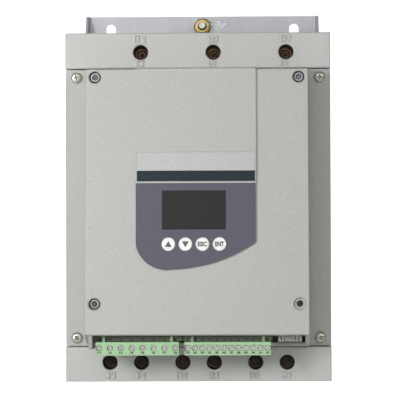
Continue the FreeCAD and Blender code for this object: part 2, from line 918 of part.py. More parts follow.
def cover_shell():
    half = body_width / 2
    far = 2 * block_depth
    outer = [
        (wing_rear, wing_bottom),
        (leg_foot_depth, wing_bottom),
        (cover_bottom_depth, cover_bottom_z),
        (far, cover_bottom_z),
        (far, cover_top_z),
        (cover_top_depth, cover_top_z),
        (wing_rear, wing_top),
    ]
    hat = cover_block(0, outer)
    rim = edges_at(hat, lambda p: abs(-p.y - front_depth(p.z)) < 1e-4)
    hat = hat.makeFillet(cover_edge_radius, rim)
    wings = box(-half, half, wing_rear, wing_depth, wing_bottom, wing_top)
    corners = edges_at(wings, lambda p: True)
    corners = [edge for edge in corners if edge.Vertexes[0].Point.y != edge.Vertexes[1].Point.y]
    wings = wings.makeFillet(wing_corner, corners)
    inner = [
        (wing_rear - 1, wing_bottom + cover_wall),
        (recess_lip_depth, wing_bottom + cover_wall),
        (recess_lip_depth, body_bottom),
        (far, body_bottom),
        (far, cover_top_z - cover_wall),
        (cover_top_depth, cover_top_z - cover_wall),
        (wing_rear - 1, wing_top - cover_wall),
    ]
    return joined([hat, wings]).cut(cover_block(cover_wall, inner))


def display_bosses():
    """Stand-offs inside the cover for the display board."""
    left, right, top, bottom = display_board_edges()
    half = post_size / 2
    root = 1 - cover_wall
    bosses = []
    for x in (left + half, right - half):
        for down in (top + half, bottom - half):
            bosses.append(face_box(x - half, x + half, down - half, down + half, display_board_out, root))
    return bosses


def display_board_edges():
    left = window_center_x - window_width / 2 - display_board_margin
    right = window_center_x + window_width / 2 + display_board_margin
    top = window_top - display_board_margin
    bottom = key_row + key_diameter / 2 + display_board_margin
    return left, right, top, bottom


def window_cut(clearance, out0, out1):
    half = window_width / 2 + clearance
    return face_box(window_center_x - half, window_center_x + half, window_top - clearance,
                    window_top + window_height + clearance, out0, out1)


def control_cover():
    lower_rise = panel_rise - overlay_thickness
    overlay_seat = panel_slab(overlay_top, lower_rise, panel_rise + 1)
    panel = panel_slab(0, -1, panel_rise).cut(overlay_seat)
    solids = [cover_shell(), panel] + display_bosses()
    cuts = [window_cut(0, -2 * cover_wall, panel_rise + 1)]
    strip_left = -panel_left + strip_side_margin
    strip_right = panel_right - strip_side_margin
    cuts.append(face_box(strip_left, strip_right, banner_top, banner_top + banner_height,
                         panel_rise - banner_thickness, panel_rise + 1))
    cuts.append(face_box(strip_left, strip_right, marking_strip_top, banner_top,
                         panel_rise - marking_strip_thickness, panel_rise + 1))
    reach = key_flange / 2 + running_clearance
    cuts.append(face_box(key_x[0] - reach, key_x[-1] + reach, key_row - reach, key_row + reach,
                         -2 * cover_wall, panel_rise + 1))
    for x, z in cover_screw_positions():
        surface = front_depth(z)
        seat = surface - counterbore_depth
        solids.append(small_rod(x, z, column_diameter, column_rear(z), surface - cover_wall / 2))
        cuts.append(round_detail(x, z, counterbore, seat, surface + counterbore_depth))
        cuts.append(small_rod(x, z, cover_screw_diameter + 2 * screw_clearance, column_rear(z) - 1, surface))
    for x, z in wing_screw_positions():
        cuts.append(small_rod(x, z, wing_screw_diameter + 2 * screw_clearance, wing_rear - 1, wing_depth + 1))
    return joined(solids).cut(cuts)


def marking_strip():
    left = -panel_left + strip_side_margin + strip_clearance
    right = panel_right - strip_side_margin - strip_clearance
    return face_box(left, right, marking_strip_top + strip_clearance, banner_top - strip_clearance,
                    panel_rise - marking_strip_thickness, panel_rise - strip_sunk)


def banner_strip():
    left = -panel_left + strip_side_margin + strip_clearance
    right = panel_right - strip_side_margin - strip_clearance
    return face_box(left, right, banner_top, banner_top + banner_height - strip_clearance,
                    panel_rise - banner_thickness, panel_rise)


def keypad_overlay():
    """Coloured panel round the display and the keys."""
    sheet_body = panel_slab(overlay_top, panel_rise - overlay_thickness, panel_rise)
    cuts = [window_cut(0, -1, panel_rise + 1)]
    for x in key_x:
        cuts.append(face_round(x, key_row, key_diameter + 2 * running_clearance, -1, panel_rise + 1))
    return sheet_body.cut(cuts)


# Display and keys

def display_front():
    return panel_rise - window_sunk - window_thickness


def display_module():
    """Board behind the panel with the display block and one switch for each key."""
    left, right, top, bottom = display_board_edges()
    board_rear = display_board_out - display_board_thickness
    solids = [
        face_box(left, right, top, bottom, board_rear, display_board_out),
        window_cut(-strip_clearance, board_rear, display_front()),
    ]
    switch_top = key_stem_end - key_travel - running_clearance
    half = switch_size / 2
    for x in key_x:
        solids.append(face_box(x - half, x + half, key_row - half, key_row + half, board_rear, switch_top))
    return joined(solids)


def display_window():
    return window_cut(-strip_clearance, display_front(), display_front() + window_thickness)


def key(x):
    """Round cap, a square flange that the overlay keeps in, and a stem towards the switch."""
    flange_rear = key_flange_out - key_flange_thickness
    half = key_flange / 2
    stem = key_stem / 2
    return joined([
        face_round(x, key_row, key_diameter, flange_rear, panel_rise + key_proud),
        face_box(x - half, x + half, key_row - half, key_row + half, flange_rear, key_flange_out),
        face_box(x - stem, x + stem, key_row - stem, key_row + stem, key_stem_end, flange_rear),
    ])


# Boards

def control_board():
    """Board that carries the plug-in terminals, with its relays, supply transformer and processor."""
    rear = control_board_depth
    front = control_board_front
    half = control_board_width / 2
    foot = control_board_foot_width / 2
    shoulder = control_board_foot + control_board_foot_height
    outline = [
        (-foot, control_board_foot), (foot, control_board_foot), (foot, shoulder), (half, shoulder),
        (half, control_board_top), (-half, control_board_top), (-half, shoulder), (-foot, shoulder),
    ]
    corners = [Vector(x, -rear, z) for x, z in outline]
    board = Part.Face(Part.makePolygon(corners + corners[:1])).extrude(Vector(0, -board_thickness, 0))
    parts = [board]
    relay_low = shoulder + post_size / 2
    for i in range(relay_count):
        x = relay_center_x + (i - 1) * relay_case_pitch
        parts.append(box(x - relay_case_width / 2, x + relay_case_width / 2, front, front + relay_case_depth,
                         relay_low, relay_low + relay_case_height))
    supply_low = control_board_top - supply_edge_gap - supply_size
    parts.append(box(-supply_size / 2, supply_size / 2, front, front + supply_depth,
                     supply_low, supply_low + supply_size))
    chip = chip_size / 2
    parts.append(box(signal_center_x - chip, signal_center_x + chip, front, front + chip_depth, -chip, chip))
    return joined(parts)


def firing_board():
    """Board that fires the modules, with a pulse transformer for each phase."""
    rear = firing_board_depth
    half = firing_board_width / 2
    low = firing_board_z - firing_board_height / 2
    high = firing_board_z + firing_board_height / 2
    parts = [box(-half, half, rear, rear + board_thickness, low, high)]
    half_width = pulse_width / 2
    half_height = pulse_height / 2
    for x in phase_x:
        parts.append(box(x - half_width, x + half_width, rear - pulse_depth, rear,
                         firing_board_z - half_height, firing_board_z + half_height))
    return joined(parts)


# Pluggable terminals and data socket

def terminal_header(center, poles, pitch):
    """Shell on the control board, open downwards for the plug."""
    half = poles * pitch / 2 + header_overhang
    rear = control_board_front
    front = rear + header_depth
    low = plug_top + plug_clearance
    shell = box(center - half, center + half, rear, front, low, header_top)
    inner = half - header_wall
    cavity_rear = plug_rear_depth - plug_clearance
    cavity_front = plug_rear_depth + plug_tongue_depth + plug_clearance
    cavity_top = header_top - header_wall
    return shell.cut(box(center - inner, center + inner, cavity_rear, cavity_front, low - 1, cavity_top))


def terminal_plug(center, poles, pitch, width):
    """Plug under a header: a body with a wire entry for each pole, a tongue and two latches."""
    half = width / 2
    body = box(center - half, center + half, plug_rear_depth, plug_front_depth, plug_bottom, plug_top)
    tongue_half = min(half, poles * pitch / 2 + header_overhang - header_wall) - plug_clearance
    tongue_front = plug_rear_depth + plug_tongue_depth
    tongue = box(center - tongue_half, center + tongue_half, plug_rear_depth, tongue_front,
                 plug_top - 1, plug_top + plug_tongue_height)
    parts = [body, tongue]
    latch_rear = control_board_front + header_depth + plug_clearance
    for side in (-1, 1):
        x = center + side * (half - latch_inset)
        parts.append(box(x - latch_width / 2, x + latch_width / 2, latch_rear, latch_rear + latch_thickness,
                         plug_top - 1, plug_top + latch_height))
    cuts = []
    middle = (plug_rear_depth + plug_front_depth) / 2
    entry = wire_entry / 2
    for i in range(poles):
        x = center + (i - (poles - 1) / 2) * pitch
        cuts.append(box(x - entry, x + entry, middle - entry, middle + entry,
                        plug_bottom - 1, plug_bottom + wire_entry))
    return joined(parts).cut(cuts)


def data_socket_shield():
    """Folded sheet round the socket, open at its mouth and towards the board."""
    half = socket_width / 2
    rear = control_board_front
    outer = box(socket_center_x - half, socket_center_x + half, rear, rear + socket_depth,
                socket_bottom, socket_bottom + socket_length)
    inner = box(socket_center_x - half + socket_shell, socket_center_x + half - socket_shell,
                rear - 1, rear + socket_depth - socket_shell, socket_bottom - 1,
                socket_bottom + socket_length - socket_shell)
    return outer.cut(inner)


def data_socket_insert():
    """Moulded body in the shield, with the mouth for the plug."""
    half = socket_width / 2 - socket_shell
    rear = control_board_front
    front = rear + socket_depth - socket_shell
    top = socket_bottom + socket_length - socket_shell
    body = box(socket_center_x - half, socket_center_x + half, rear, front, socket_bottom + socket_shell, top)
    middle = (rear + front) / 2
    mouth = box(socket_center_x - socket_mouth_width / 2, socket_center_x + socket_mouth_width / 2,
                middle - socket_mouth_depth / 2, middle + socket_mouth_depth / 2,
                socket_bottom - 1, socket_bottom + socket_mouth_length)
    return body.cut(mouth)


# Screws of the covers

def housing_screws():
    """Pan heads that hold the cover's wings on the housing."""
    screws = []
    for x, z in wing_screw_positions():
        head = round_detail(x, z, wing_screw_head, wing_depth, wing_depth + wing_screw_head_height)
        shank = small_rod(x, z, wing_screw_diameter, wing_depth - wing_screw_length, wing_depth)
        screws.append(joined([head, shank]))
    return Part.makeCompound(screws)


def cover_screws():
    """Sunk screws at three corners of the cover: the lower right corner has none."""
    screws = []
    for x, z in cover_screw_positions()[:3]:
        seat = front_depth(z) - counterbore_depth
        head = many_sided(x, z, cover_screw_head, seat, seat + cover_screw_head_height, 2 * small_side_count)
        shank = small_rod(x, z, cover_screw_diameter, seat - cover_screw_grip, seat)
        screws.append(joined([head, shank]))
    return Part.makeCompound(screws)


def all_nodes():
    nodes = {
        "mounting_chassis": mounting_chassis(),
        "earth_stud": earth_stud(),
        "earth_nut": earth_nut(),
        "heat_sink": heat_sink(),
        "fan_tray": fan_tray(),
        "power_screws": power_screws(),
        "terminal_clamps": terminal_clamps(),
        "clamp_screws": clamp_screws(),
        "line_terminal_block": line_terminal_block(),
        "motor_terminal_block": motor_terminal_block(),
        "power_housing": power_housing(),
        "control_cover": control_cover(),
        "marking_strip": marking_strip(),
        "banner_strip": banner_strip(),
        "keypad_overlay": keypad_overlay(),
        "display_module": display_module(),
        "display_window": display_window(),
        "control_board": control_board(),
        "firing_board": firing_board(),
        "relay_terminal_header": terminal_header(relay_center_x, relay_poles, relay_pitch),
        "signal_terminal_header": terminal_header(signal_center_x, signal_poles, signal_pitch),
        "relay_terminal_plug": terminal_plug(relay_center_x, relay_poles, relay_pitch, relay_plug_width),
        "signal_terminal_plug": terminal_plug(signal_center_x, signal_poles, signal_pitch, signal_plug_width),
        "data_socket_shield": data_socket_shield(),
        "data_socket_insert": data_socket_insert(),
        "housing_screws": housing_screws(),
        "cover_screws": cover_screws(),
    }
    for name, (x, depth) in zip(("left", "right"), fan_centers()):
        nodes[f"fan_frame_{name}"] = fan_frame(x, depth)
        nodes[f"fan_rotor_{name}"] = fan_rotor(x, depth)
    for i, x in enumerate(phase_x, start=1):
        nodes[f"thyristor_module_{i}"] = thyristor_module(x)
        nodes[f"line_busbar_{i}"] = line_busbar(x)
        nodes[f"motor_busbar_{i}"] = motor_busbar(x)
        nodes[f"current_sensor_{i}"] = current_sensor(x + terminal_pitch / 2)
    for name, x in zip(("up", "down", "escape", "enter"), key_x):
        nodes[f"key_{name}"] = key(x)
    return nodes


os.makedirs("parts", exist_ok=True)
for node, shape in all_nodes().items():
    shape.exportStep(f"parts/{node}.step")
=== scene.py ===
import json
import math
import random

import bmesh
import bpy
from mathutils import Matrix, Vector


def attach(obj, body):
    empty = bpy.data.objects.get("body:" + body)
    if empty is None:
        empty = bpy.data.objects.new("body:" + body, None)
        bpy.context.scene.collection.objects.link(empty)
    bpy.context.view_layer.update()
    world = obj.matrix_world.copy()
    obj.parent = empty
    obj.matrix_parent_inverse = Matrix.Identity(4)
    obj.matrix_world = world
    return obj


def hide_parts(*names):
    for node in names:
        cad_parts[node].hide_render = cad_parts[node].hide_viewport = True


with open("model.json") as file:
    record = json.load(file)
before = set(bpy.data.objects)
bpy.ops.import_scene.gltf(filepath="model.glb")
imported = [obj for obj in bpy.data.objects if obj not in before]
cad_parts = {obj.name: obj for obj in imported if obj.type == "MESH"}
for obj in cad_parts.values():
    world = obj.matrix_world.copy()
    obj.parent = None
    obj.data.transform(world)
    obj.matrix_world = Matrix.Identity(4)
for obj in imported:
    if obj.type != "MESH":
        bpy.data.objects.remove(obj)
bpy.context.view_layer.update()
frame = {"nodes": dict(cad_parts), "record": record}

random.seed(7)

MM = 0.001
TINY = 1e-6
EDGE_SEGMENTS = 2
EDGE_ANGLE = math.radians(32)
SHARP_ANGLE = math.radians(35)
FLAT_ANGLE = math.radians(0.6)

# Sizes in millimetres, as in the CAD: x to the right, depth out of the wall, z up.
BLOCK_DEPTH = 190.0
WING_DEPTH = 187.0
PLATE_FRONT = 2.0
KEYHOLE_X = 75.0
KEYHOLE_HEAD_Z = 125.5
KEYHOLE_HEAD = 15.02
KEYHOLE_NECK_Z = 135.0
SLOT_Z = -139.0
SLOT_RADIUS = 3.75
SLOT_HALF = 3.76
COVER_TOP = (222.0, 83.7)  # depth and z
COVER_BOTTOM = (235.0, -102.3)
SLOPE = math.atan((COVER_BOTTOM[0] - COVER_TOP[0]) / (COVER_TOP[1] - COVER_BOTTOM[1]))
PANEL_RISE = 1.6
LINE_X = (-41.0, 11.3, 63.6)
LINE_Z = 98.3
MOTOR_X = (-63.6, -41.0, -11.3, 11.3, 41.0, 63.6)
MOTOR_Z = -124.6
ACCESS_HOLE = 10.5
GUIDE_HOLE = 11.5
GUIDE_FRONT = 165.0
FIELD_DEPTH = 1.0
SCREW_FRONT = 166.0
KEYS = {"up": -19.95, "down": -8.05, "escape": 3.85, "enter": 15.75}
KEY_ROW = 123.5
KEY_RADIUS = 4.65
LEGEND_RISE = 0.04
WING_SCREWS = [(side * 87.6, z) for z in (80.3, -107.0) for side in (-1, 1)]
COVER_SCREWS = [(side * 71.6, z) for z in (78.0, -81.0) for side in (-1, 1)]
COUNTERBORE = 8.1
COUNTERBORE_DEPTH = 5.0
SCREW_BORE = 4.8
WING_BORE = 4.4
SHANK = 4.0
SHANK_LENGTH = 12.0
SHANK_PITCH = 0.7
EARTH = (0.0, 136.5)
EARTH_DOTS = [(8.3, 138.3), (9.7, 136.6), (11.4, 134.6), (15.1, 135.2), (16.6, 136.9), (18.2, 138.7),
              (13.5, 140.3)]
EARTH_BARS = [((10.4, 138.4), (16.1, 138.8)), ((11.2, 136.9), (15.3, 137.1))]
EARTH_BAR_WIDTH = 0.35
PLUG_FRONT = 230.0
PLUGS = {
    "relay": {"center": -42.0, "poles": 8, "pitch": 7.62, "first": 11},
    "signal": {"center": 21.2, "poles": 12, "pitch": 5.08, "first": 21},
}
PLUG_SCREW_Z = -111.9
PLUG_MARK_Z = -115.1
PLUG_WELL = 4.2
HEADER_FRONT = 222.0
HEADER_DOT_Z = -106.45
HEADER_DOT = 1.4
SOCKET_X = 64.8
SOCKET_FRONT = 224.2
SOCKET_TAB = 5.0
FANS = {"left": -46.5, "right": 46.5}
FAN_DEPTH = 49.25
FAN_LOW = -110.2
FAN_HIGH = -85.2
FAN_HALF = 44.0
FAN_BORE = 42.0
FAN_PIN = 2.5
HUB_RADIUS = 17.0
BLADE_ROOT = 16.0
BLADE_TIP = 40.0
BLADE_CHORD = 23.0
BLADE_CAMBER = 1.6
BLADE_THICKNESS = 1.1

# Counts, and angles in degrees
BLADES = 5
BLADE_STEPS = 8
WING_SCREW_TURNS = (12, -4, 38, 21)
COVER_SCREW_TURNS = (25, 8, 52)
PLUG_SCREW_TURNS = (20, 35, 50, 65, 110, 130, 150)


# Places

def place(x, depth, z):
    return Vector((x, -depth, z)) * MM


FRONT = Matrix.Rotation(math.radians(90), 4, "X")
FACE = Matrix.Translation(place(0, *COVER_TOP)) @ Matrix.Rotation(-SLOPE, 4, "X")


def on_front(x, depth, z, turn=0.0):
    """Local x to the right, y up and z out towards the viewer."""
    return Matrix.Translation(place(x, depth, z)) @ FRONT @ Matrix.Rotation(math.radians(turn), 4, "Z")


def on_face(x, down, out, turn=0.0):
    """The same on the cover's sloping front."""
    shift = Matrix.Translation(Vector((x, -out, -down)) * MM)
    return FACE @ shift @ FRONT @ Matrix.Rotation(math.radians(turn), 4, "Z")


def front_depth(z):
    return COVER_TOP[0] + (COVER_TOP[1] - z) * math.tan(SLOPE)


# Meshes, built in millimetres in a local frame

def circle(radius, sides=48, x=0.0, y=0.0, start=0.0):
    points = []
    for i in range(sides):
        angle = start + 2 * math.pi * i / sides
        points.append((x + radius * math.cos(angle), y + radius * math.sin(angle)))
    return points


def rectangle(x0, x1, y0, y1):
    return [(x0, y0), (x1, y0), (x1, y1), (x0, y1)]


def rounded(x0, x1, y0, y1, radius, steps=5):
    points = []
    corners = [(x1 - radius, y0 + radius, -90), (x1 - radius, y1 - radius, 0),
               (x0 + radius, y1 - radius, 90), (x0 + radius, y0 + radius, 180)]
    for cx, cy, start in corners:
        for i in range(steps + 1):
            angle = math.radians(start + 90 * i / steps)
            points.append((cx + radius * math.cos(angle), cy + radius * math.sin(angle)))
    return points


def add_prism(bm, points, z0, z1, low_scale=1.0):
    low = [bm.verts.new((x * low_scale, y * low_scale, z0)) for x, y in points]
    high = [bm.verts.new((x, y, z1)) for x, y in points]
    bm.faces.new(low[::-1])
    bm.faces.new(high)
    for i in range(len(points)):
        j = (i + 1) % len(points)
        bm.faces.new((low[i], low[j], high[j], high[i]))


def add_lathe(bm, profile, sides=48):
    """Turned form about local z, from (radius, height) points that start and end on the axis."""
    rings = []
    for radius, height in profile:
        count = 1 if radius < TINY else sides
        rings.append([bm.verts.new((radius * math.cos(2 * math.pi * i / sides),
                                    radius * math.sin(2 * math.pi * i / sides), height))
                      for i in range(count)])
    for low, high in zip(rings, rings[1:]):
        for i in range(sides):
            j = (i + 1) % sides
            corners = [low[i % len(low)], low[j % len(low)], high[j % len(high)], high[i % len(high)]]
            bm.faces.new(list(dict.fromkeys(corners)))


def add_thread(bm, radius, z0, z1, pitch, sides=32):
    """Threaded rod: a rod whose radius follows a helix, with plain ends on the axis."""
    rows = int((z1 - z0) / pitch * 8)
    rings = []
    for k in range(rows + 1):
        z = z0 + (z1 - z0) * k / rows
        fade = min(1.0, (z1 - z) / pitch)
        ring = []
        for i in range(sides):
            turn = (z / pitch - i / sides) % 1.0
            r = radius - 0.6 * pitch * abs(2 * turn - 1) * fade - 0.5 * pitch * (1 - fade)
            ring.append(bm.verts.new((r * math.cos(2 * math.pi * i / sides),
                                      r * math.sin(2 * math.pi * i / sides), z)))
        rings.append(ring)
    for low, high in zip(rings, rings[1:]):
        for i in range(sides):
            j = (i + 1) % sides
            bm.faces.new((low[i], low[j], high[j], high[i]))
    bm.faces.new(rings[0][::-1])
    bm.faces.new(rings[-1])


def mesh_of(bm, matrix=None):
    bmesh.ops.recalc_face_normals(bm, faces=bm.faces)
    bmesh.ops.scale(bm, vec=(MM, MM, MM), verts=bm.verts)
    if matrix is not None:
        bm.transform(matrix)
    mesh = bpy.data.meshes.new("made")
    bm.to_mesh(mesh)
    bm.free()
    return mesh


def prism(points, z0, z1, matrix=None, low_scale=1.0):
    bm = bmesh.new()
    add_prism(bm, points, z0, z1, low_scale)
    return mesh_of(bm, matrix)


def lathe(profile, matrix=None, sides=48):
    bm = bmesh.new()
    add_lathe(bm, profile, sides)
    return mesh_of(bm, matrix)


def joined(meshes):
    bm = bmesh.new()
    for mesh in meshes:
        bm.from_mesh(mesh)
        bpy.data.meshes.remove(mesh)
    whole = bpy.data.meshes.new("made")
    bm.to_mesh(whole)
    bm.free()
    return whole


def repeated(mesh, places):
    """One mesh with a copy at each of the places."""
    copies = []
    for matrix in places:
        copy = mesh.copy()
        copy.transform(matrix)
        copies.append(copy)
    return joined(copies)


def linked(name, data):
    """New object of the data, in the scene."""
    made = bpy.data.objects.new(name, data)
    bpy.context.scene.collection.objects.link(made)
    return made


def shaped(mesh, modify):
    """The mesh after modifiers are put on it and applied."""
    work = linked("work", mesh)
    modify(work)
    graph = bpy.context.evaluated_depsgraph_get()
    result = bpy.data.meshes.new_from_object(work.evaluated_get(graph), depsgraph=graph)
    bpy.data.objects.remove(work)
    bpy.data.meshes.remove(mesh)
    return result


def combined(mesh, others, operation):
    """The mesh after a boolean with each of the others. Shapes inside one of them must not touch."""
    tools = [linked("tool", other) for other in others]

    def modify(work):
        for tool in tools:
            modifier = work.modifiers.new("boolean", "BOOLEAN")
            modifier.operation = operation
            modifier.solver = "EXACT"
            modifier.object = tool

    result = shaped(mesh, modify)
    for tool in tools:
        bpy.data.objects.remove(tool)
    return result


def cut(mesh, cutters):
    return combined(mesh, cutters, "DIFFERENCE")


def common(mesh, other):
    return combined(mesh, [other], "INTERSECT")


def soft_edged(mesh, width, split=True):
    """Rounds the sharp edges by a width in millimetres, once faces with holes are split into plain ones."""
    if split:
        bm = bmesh.new()
        bm.from_mesh(mesh)
        bmesh.ops.connect_verts_concave(bm, faces=bm.faces)
        bm.to_mesh(mesh)
        bm.free()

    def modify(work):
        weld = work.modifiers.new("weld", "WELD")
        weld.merge_threshold = TINY
        bevel = work.modifiers.new("bevel", "BEVEL")
        bevel.width = width * MM
        bevel.segments = EDGE_SEGMENTS
        bevel.limit_method = "ANGLE"
        bevel.angle_limit = EDGE_ANGLE
        bevel.harden_normals = False
        bevel.miter_outer = "MITER_ARC"
    return shaped(mesh, modify)


def flat_shaded(mesh):
    """Large faces keep their own shading, and the rounded edges between them bend it."""
    def modify(work):
        modifier = work.modifiers.new("normals", "WEIGHTED_NORMAL")
        modifier.keep_sharp = True
        modifier.weight = 80
    return shaped(mesh, modify)


def cad_copy(node):
    """Copy of a CAD node's mesh with its flat areas in one piece."""
    bm = bmesh.new()
    bm.from_mesh(frame["nodes"][node].data)
    bmesh.ops.remove_doubles(bm, verts=bm.verts, dist=TINY)
    bmesh.ops.dissolve_limit(bm, angle_limit=FLAT_ANGLE, verts=bm.verts, edges=bm.edges)
    mesh = bpy.data.meshes.new("copy")
    bm.to_mesh(mesh)
    bm.free()
    return mesh


def lettering(text, width, height, depth, matrix, bold=0.02, slope=0.0):
    """Text as a mesh, made to a width and height, centred, from local z 0 up to its depth.

    Bold and slope widen the letters and bevel their edges, in units of the font's size."""
    curve = bpy.data.curves.new("lettering", "FONT")
    curve.body = text
    curve.extrude = 0.02 if slope else 0.5
    curve.bevel_depth = slope
    curve.bevel_resolution = 0
    curve.offset = bold
    curve.resolution_u = 4
    work = linked("lettering", curve)
    graph = bpy.context.evaluated_depsgraph_get()
    mesh = bpy.data.meshes.new_from_object(work.evaluated_get(graph), depsgraph=graph)
    bpy.data.objects.remove(work)
    bpy.data.curves.remove(curve)
    low = [min(v.co[i] for v in mesh.vertices) for i in range(3)]
    high = [max(v.co[i] for v in mesh.vertices) for i in range(3)]
    for v in mesh.vertices:
        v.co = (((v.co.x - low[0]) / (high[0] - low[0]) - 0.5) * width * MM,
                ((v.co.y - low[1]) / (high[1] - low[1]) - 0.5) * height * MM,
                (v.co.z - low[2]) / (high[2] - low[2]) * depth * MM)
    mesh.transform(matrix)
    return mesh


# Materials

def srgb(red, green, blue):
    channels = []
    for value in (red, green, blue):
        value /= 255.0
        channels.append(value / 12.92 if value <= 0.04045 else ((value + 0.055) / 1.055) ** 2.4)
    return (*channels, 1.0)


def shade(color, factor):
    return (*[min(1.0, value * factor) for value in color[:3]], 1.0)


class Look:
    """Node tree of one material, with a colour, a roughness and a height built up step by step."""

    def __init__(self, name, color, rough, metal=0.0, spread=0.08, mottle=0.03, mottle_size=30.0, **sockets):
        self.material = bpy.data.materials.new(name)
        self.material.use_nodes = True
        self.tree = self.material.node_tree
        self.shader = self.tree.nodes["Principled BSDF"]
        self.shader.inputs["Metallic"].default_value = metal
        for socket, value in sockets.items():
            self.shader.inputs[socket.replace("_", " ")].default_value = value
        self.position = self.node("ShaderNodeTexCoord").outputs["Object"]
        self.height = None
        clouds = self.noise(mottle_size, detail=3)
        self.color = self.blend(clouds, shade(color, 1 - mottle), shade(color, 1 + mottle))
        self.tree.links.new(self.color, self.shader.inputs["Base Color"])
        self.rough = self.spread(self.noise(mottle_size / 6, detail=4), rough - spread, rough + spread)
        self.tree.links.new(self.rough, self.shader.inputs["Roughness"])

    def feed(self, socket, value):
        """Links another node's output to the socket, or sets a plain value on it."""
        if isinstance(value, bpy.types.NodeSocket):
            self.tree.links.new(value, socket)
        else:
            socket.default_value = value

    def node(self, kind, **inputs):
        """New node with its inputs fed by name, or by number as i0, i1 and so on."""
        made = self.tree.nodes.new(kind)
        for name, value in inputs.items():
            numbered = name[0] == "i" and name[1:].isdigit()
            self.feed(made.inputs[int(name[1:]) if numbered else name], value)
        return made

    def noise(self, size, detail=2.0, stretch=None):
        """Noise between 0 and 1 whose patches are about size millimetres across."""
        source = self.position
        if stretch:
            source = self.node("ShaderNodeMapping", Vector=self.position, Scale=stretch).outputs[0]
        made = self.node("ShaderNodeTexNoise", Vector=source, Scale=1000.0 / size, Detail=detail,
                         Roughness=0.55)
        return made.outputs["Fac"]

    def cells(self, size, output="Color"):
        """Cells about size millimetres across."""
        return self.node("ShaderNodeTexVoronoi", Vector=self.position, Scale=1000.0 / size).outputs[output]

    def spread(self, value, low, high, start=0.3, end=0.7):
        """The value mapped from start and end to low and high, and held there outside them."""
        made = self.node("ShaderNodeMapRange", Value=value)
        for socket, number in (("From Min", start), ("From Max", end), ("To Min", low), ("To Max", high)):
            made.inputs[socket].default_value = number
        return made.outputs[0]

    def math(self, operation, first, second):
        made = self.node("ShaderNodeMath", i0=first, i1=second)
        made.operation = operation
        return made.outputs[0]

    def blend(self, factor, low, high):
        made = self.tree.nodes.new("ShaderNodeMix")
        made.data_type = "RGBA"
        for index, value in ((0, factor), (6, low), (7, high)):
            self.feed(made.inputs[index], value)
        return made.outputs[2]

    def paint(self, factor, color):
        """Lays a colour over what is there, where the factor says."""
        self.color = self.blend(factor, self.color, color)
        self.tree.links.new(self.color, self.shader.inputs["Base Color"])
        return self

    def grain(self, size, depth, stretch=None):
        """Bumps of a size and depth in millimetres."""
        height = self.noise(size, stretch=stretch)
        made = self.node("ShaderNodeBump", Height=height, Distance=depth * MM, Strength=1.0)
        if self.height is not None:
            self.tree.links.new(self.height, made.inputs["Normal"])
        self.height = made.outputs[0]
        self.tree.links.new(self.height, self.shader.inputs["Normal"])
        return self

    def painted_crevice_shade(self, color, reach, amount):
        """Painted shade: darker hollows, seams and recesses, laid by ambient occlusion."""
        shut = self.node("ShaderNodeAmbientOcclusion", Distance=reach * MM)
        shut.samples = 6
        return self.paint(self.spread(shut.outputs["AO"], amount, 0.0, start=0.3, end=0.85), color)

    def edges(self, color, width, amount):
        """Painted edge light: a colour laid in patches where the surface turns within the width, a painted
        highlight where it is lighter and painted shade where it is darker.
        """
        bevel = self.node("ShaderNodeBevel", Radius=width * MM)
        bevel.samples = 4
        normal = self.node("ShaderNodeNewGeometry").outputs["Normal"]
        facing = self.node("ShaderNodeVectorMath", i0=bevel.outputs[0], i1=normal)
        facing.operation = "DOT_PRODUCT"
        turned = self.spread(facing.outputs["Value"], amount, 0.0, start=0.75, end=0.99)
        patchy = self.math("MULTIPLY", turned, self.spread(self.noise(4.0), 0.4, 1.0))
        return self.paint(patchy, color)


def moulded(name, color, rough=0.5):
    """Spark-eroded moulded plastic: fine grain, faint flow marks, and a painted highlight on the rounded
    edges.
    """
    look = Look(name, color, rough, mottle=0.022, mottle_size=18.0)
    look.paint(look.spread(look.noise(0.9), 0.0, 0.42), shade(color, 0.55))
    flow = look.spread(look.noise(60.0, detail=5), 0.0, 0.05, start=0.52, end=0.75)
    look.paint(flow, srgb(150, 146, 132))
    # Painted highlight: a lighter colour on the rounded edges.
    look.edges(shade(color, 1.25), 0.45, 0.35)
    return look.grain(1.0, 0.05).grain(7.0, 0.02)


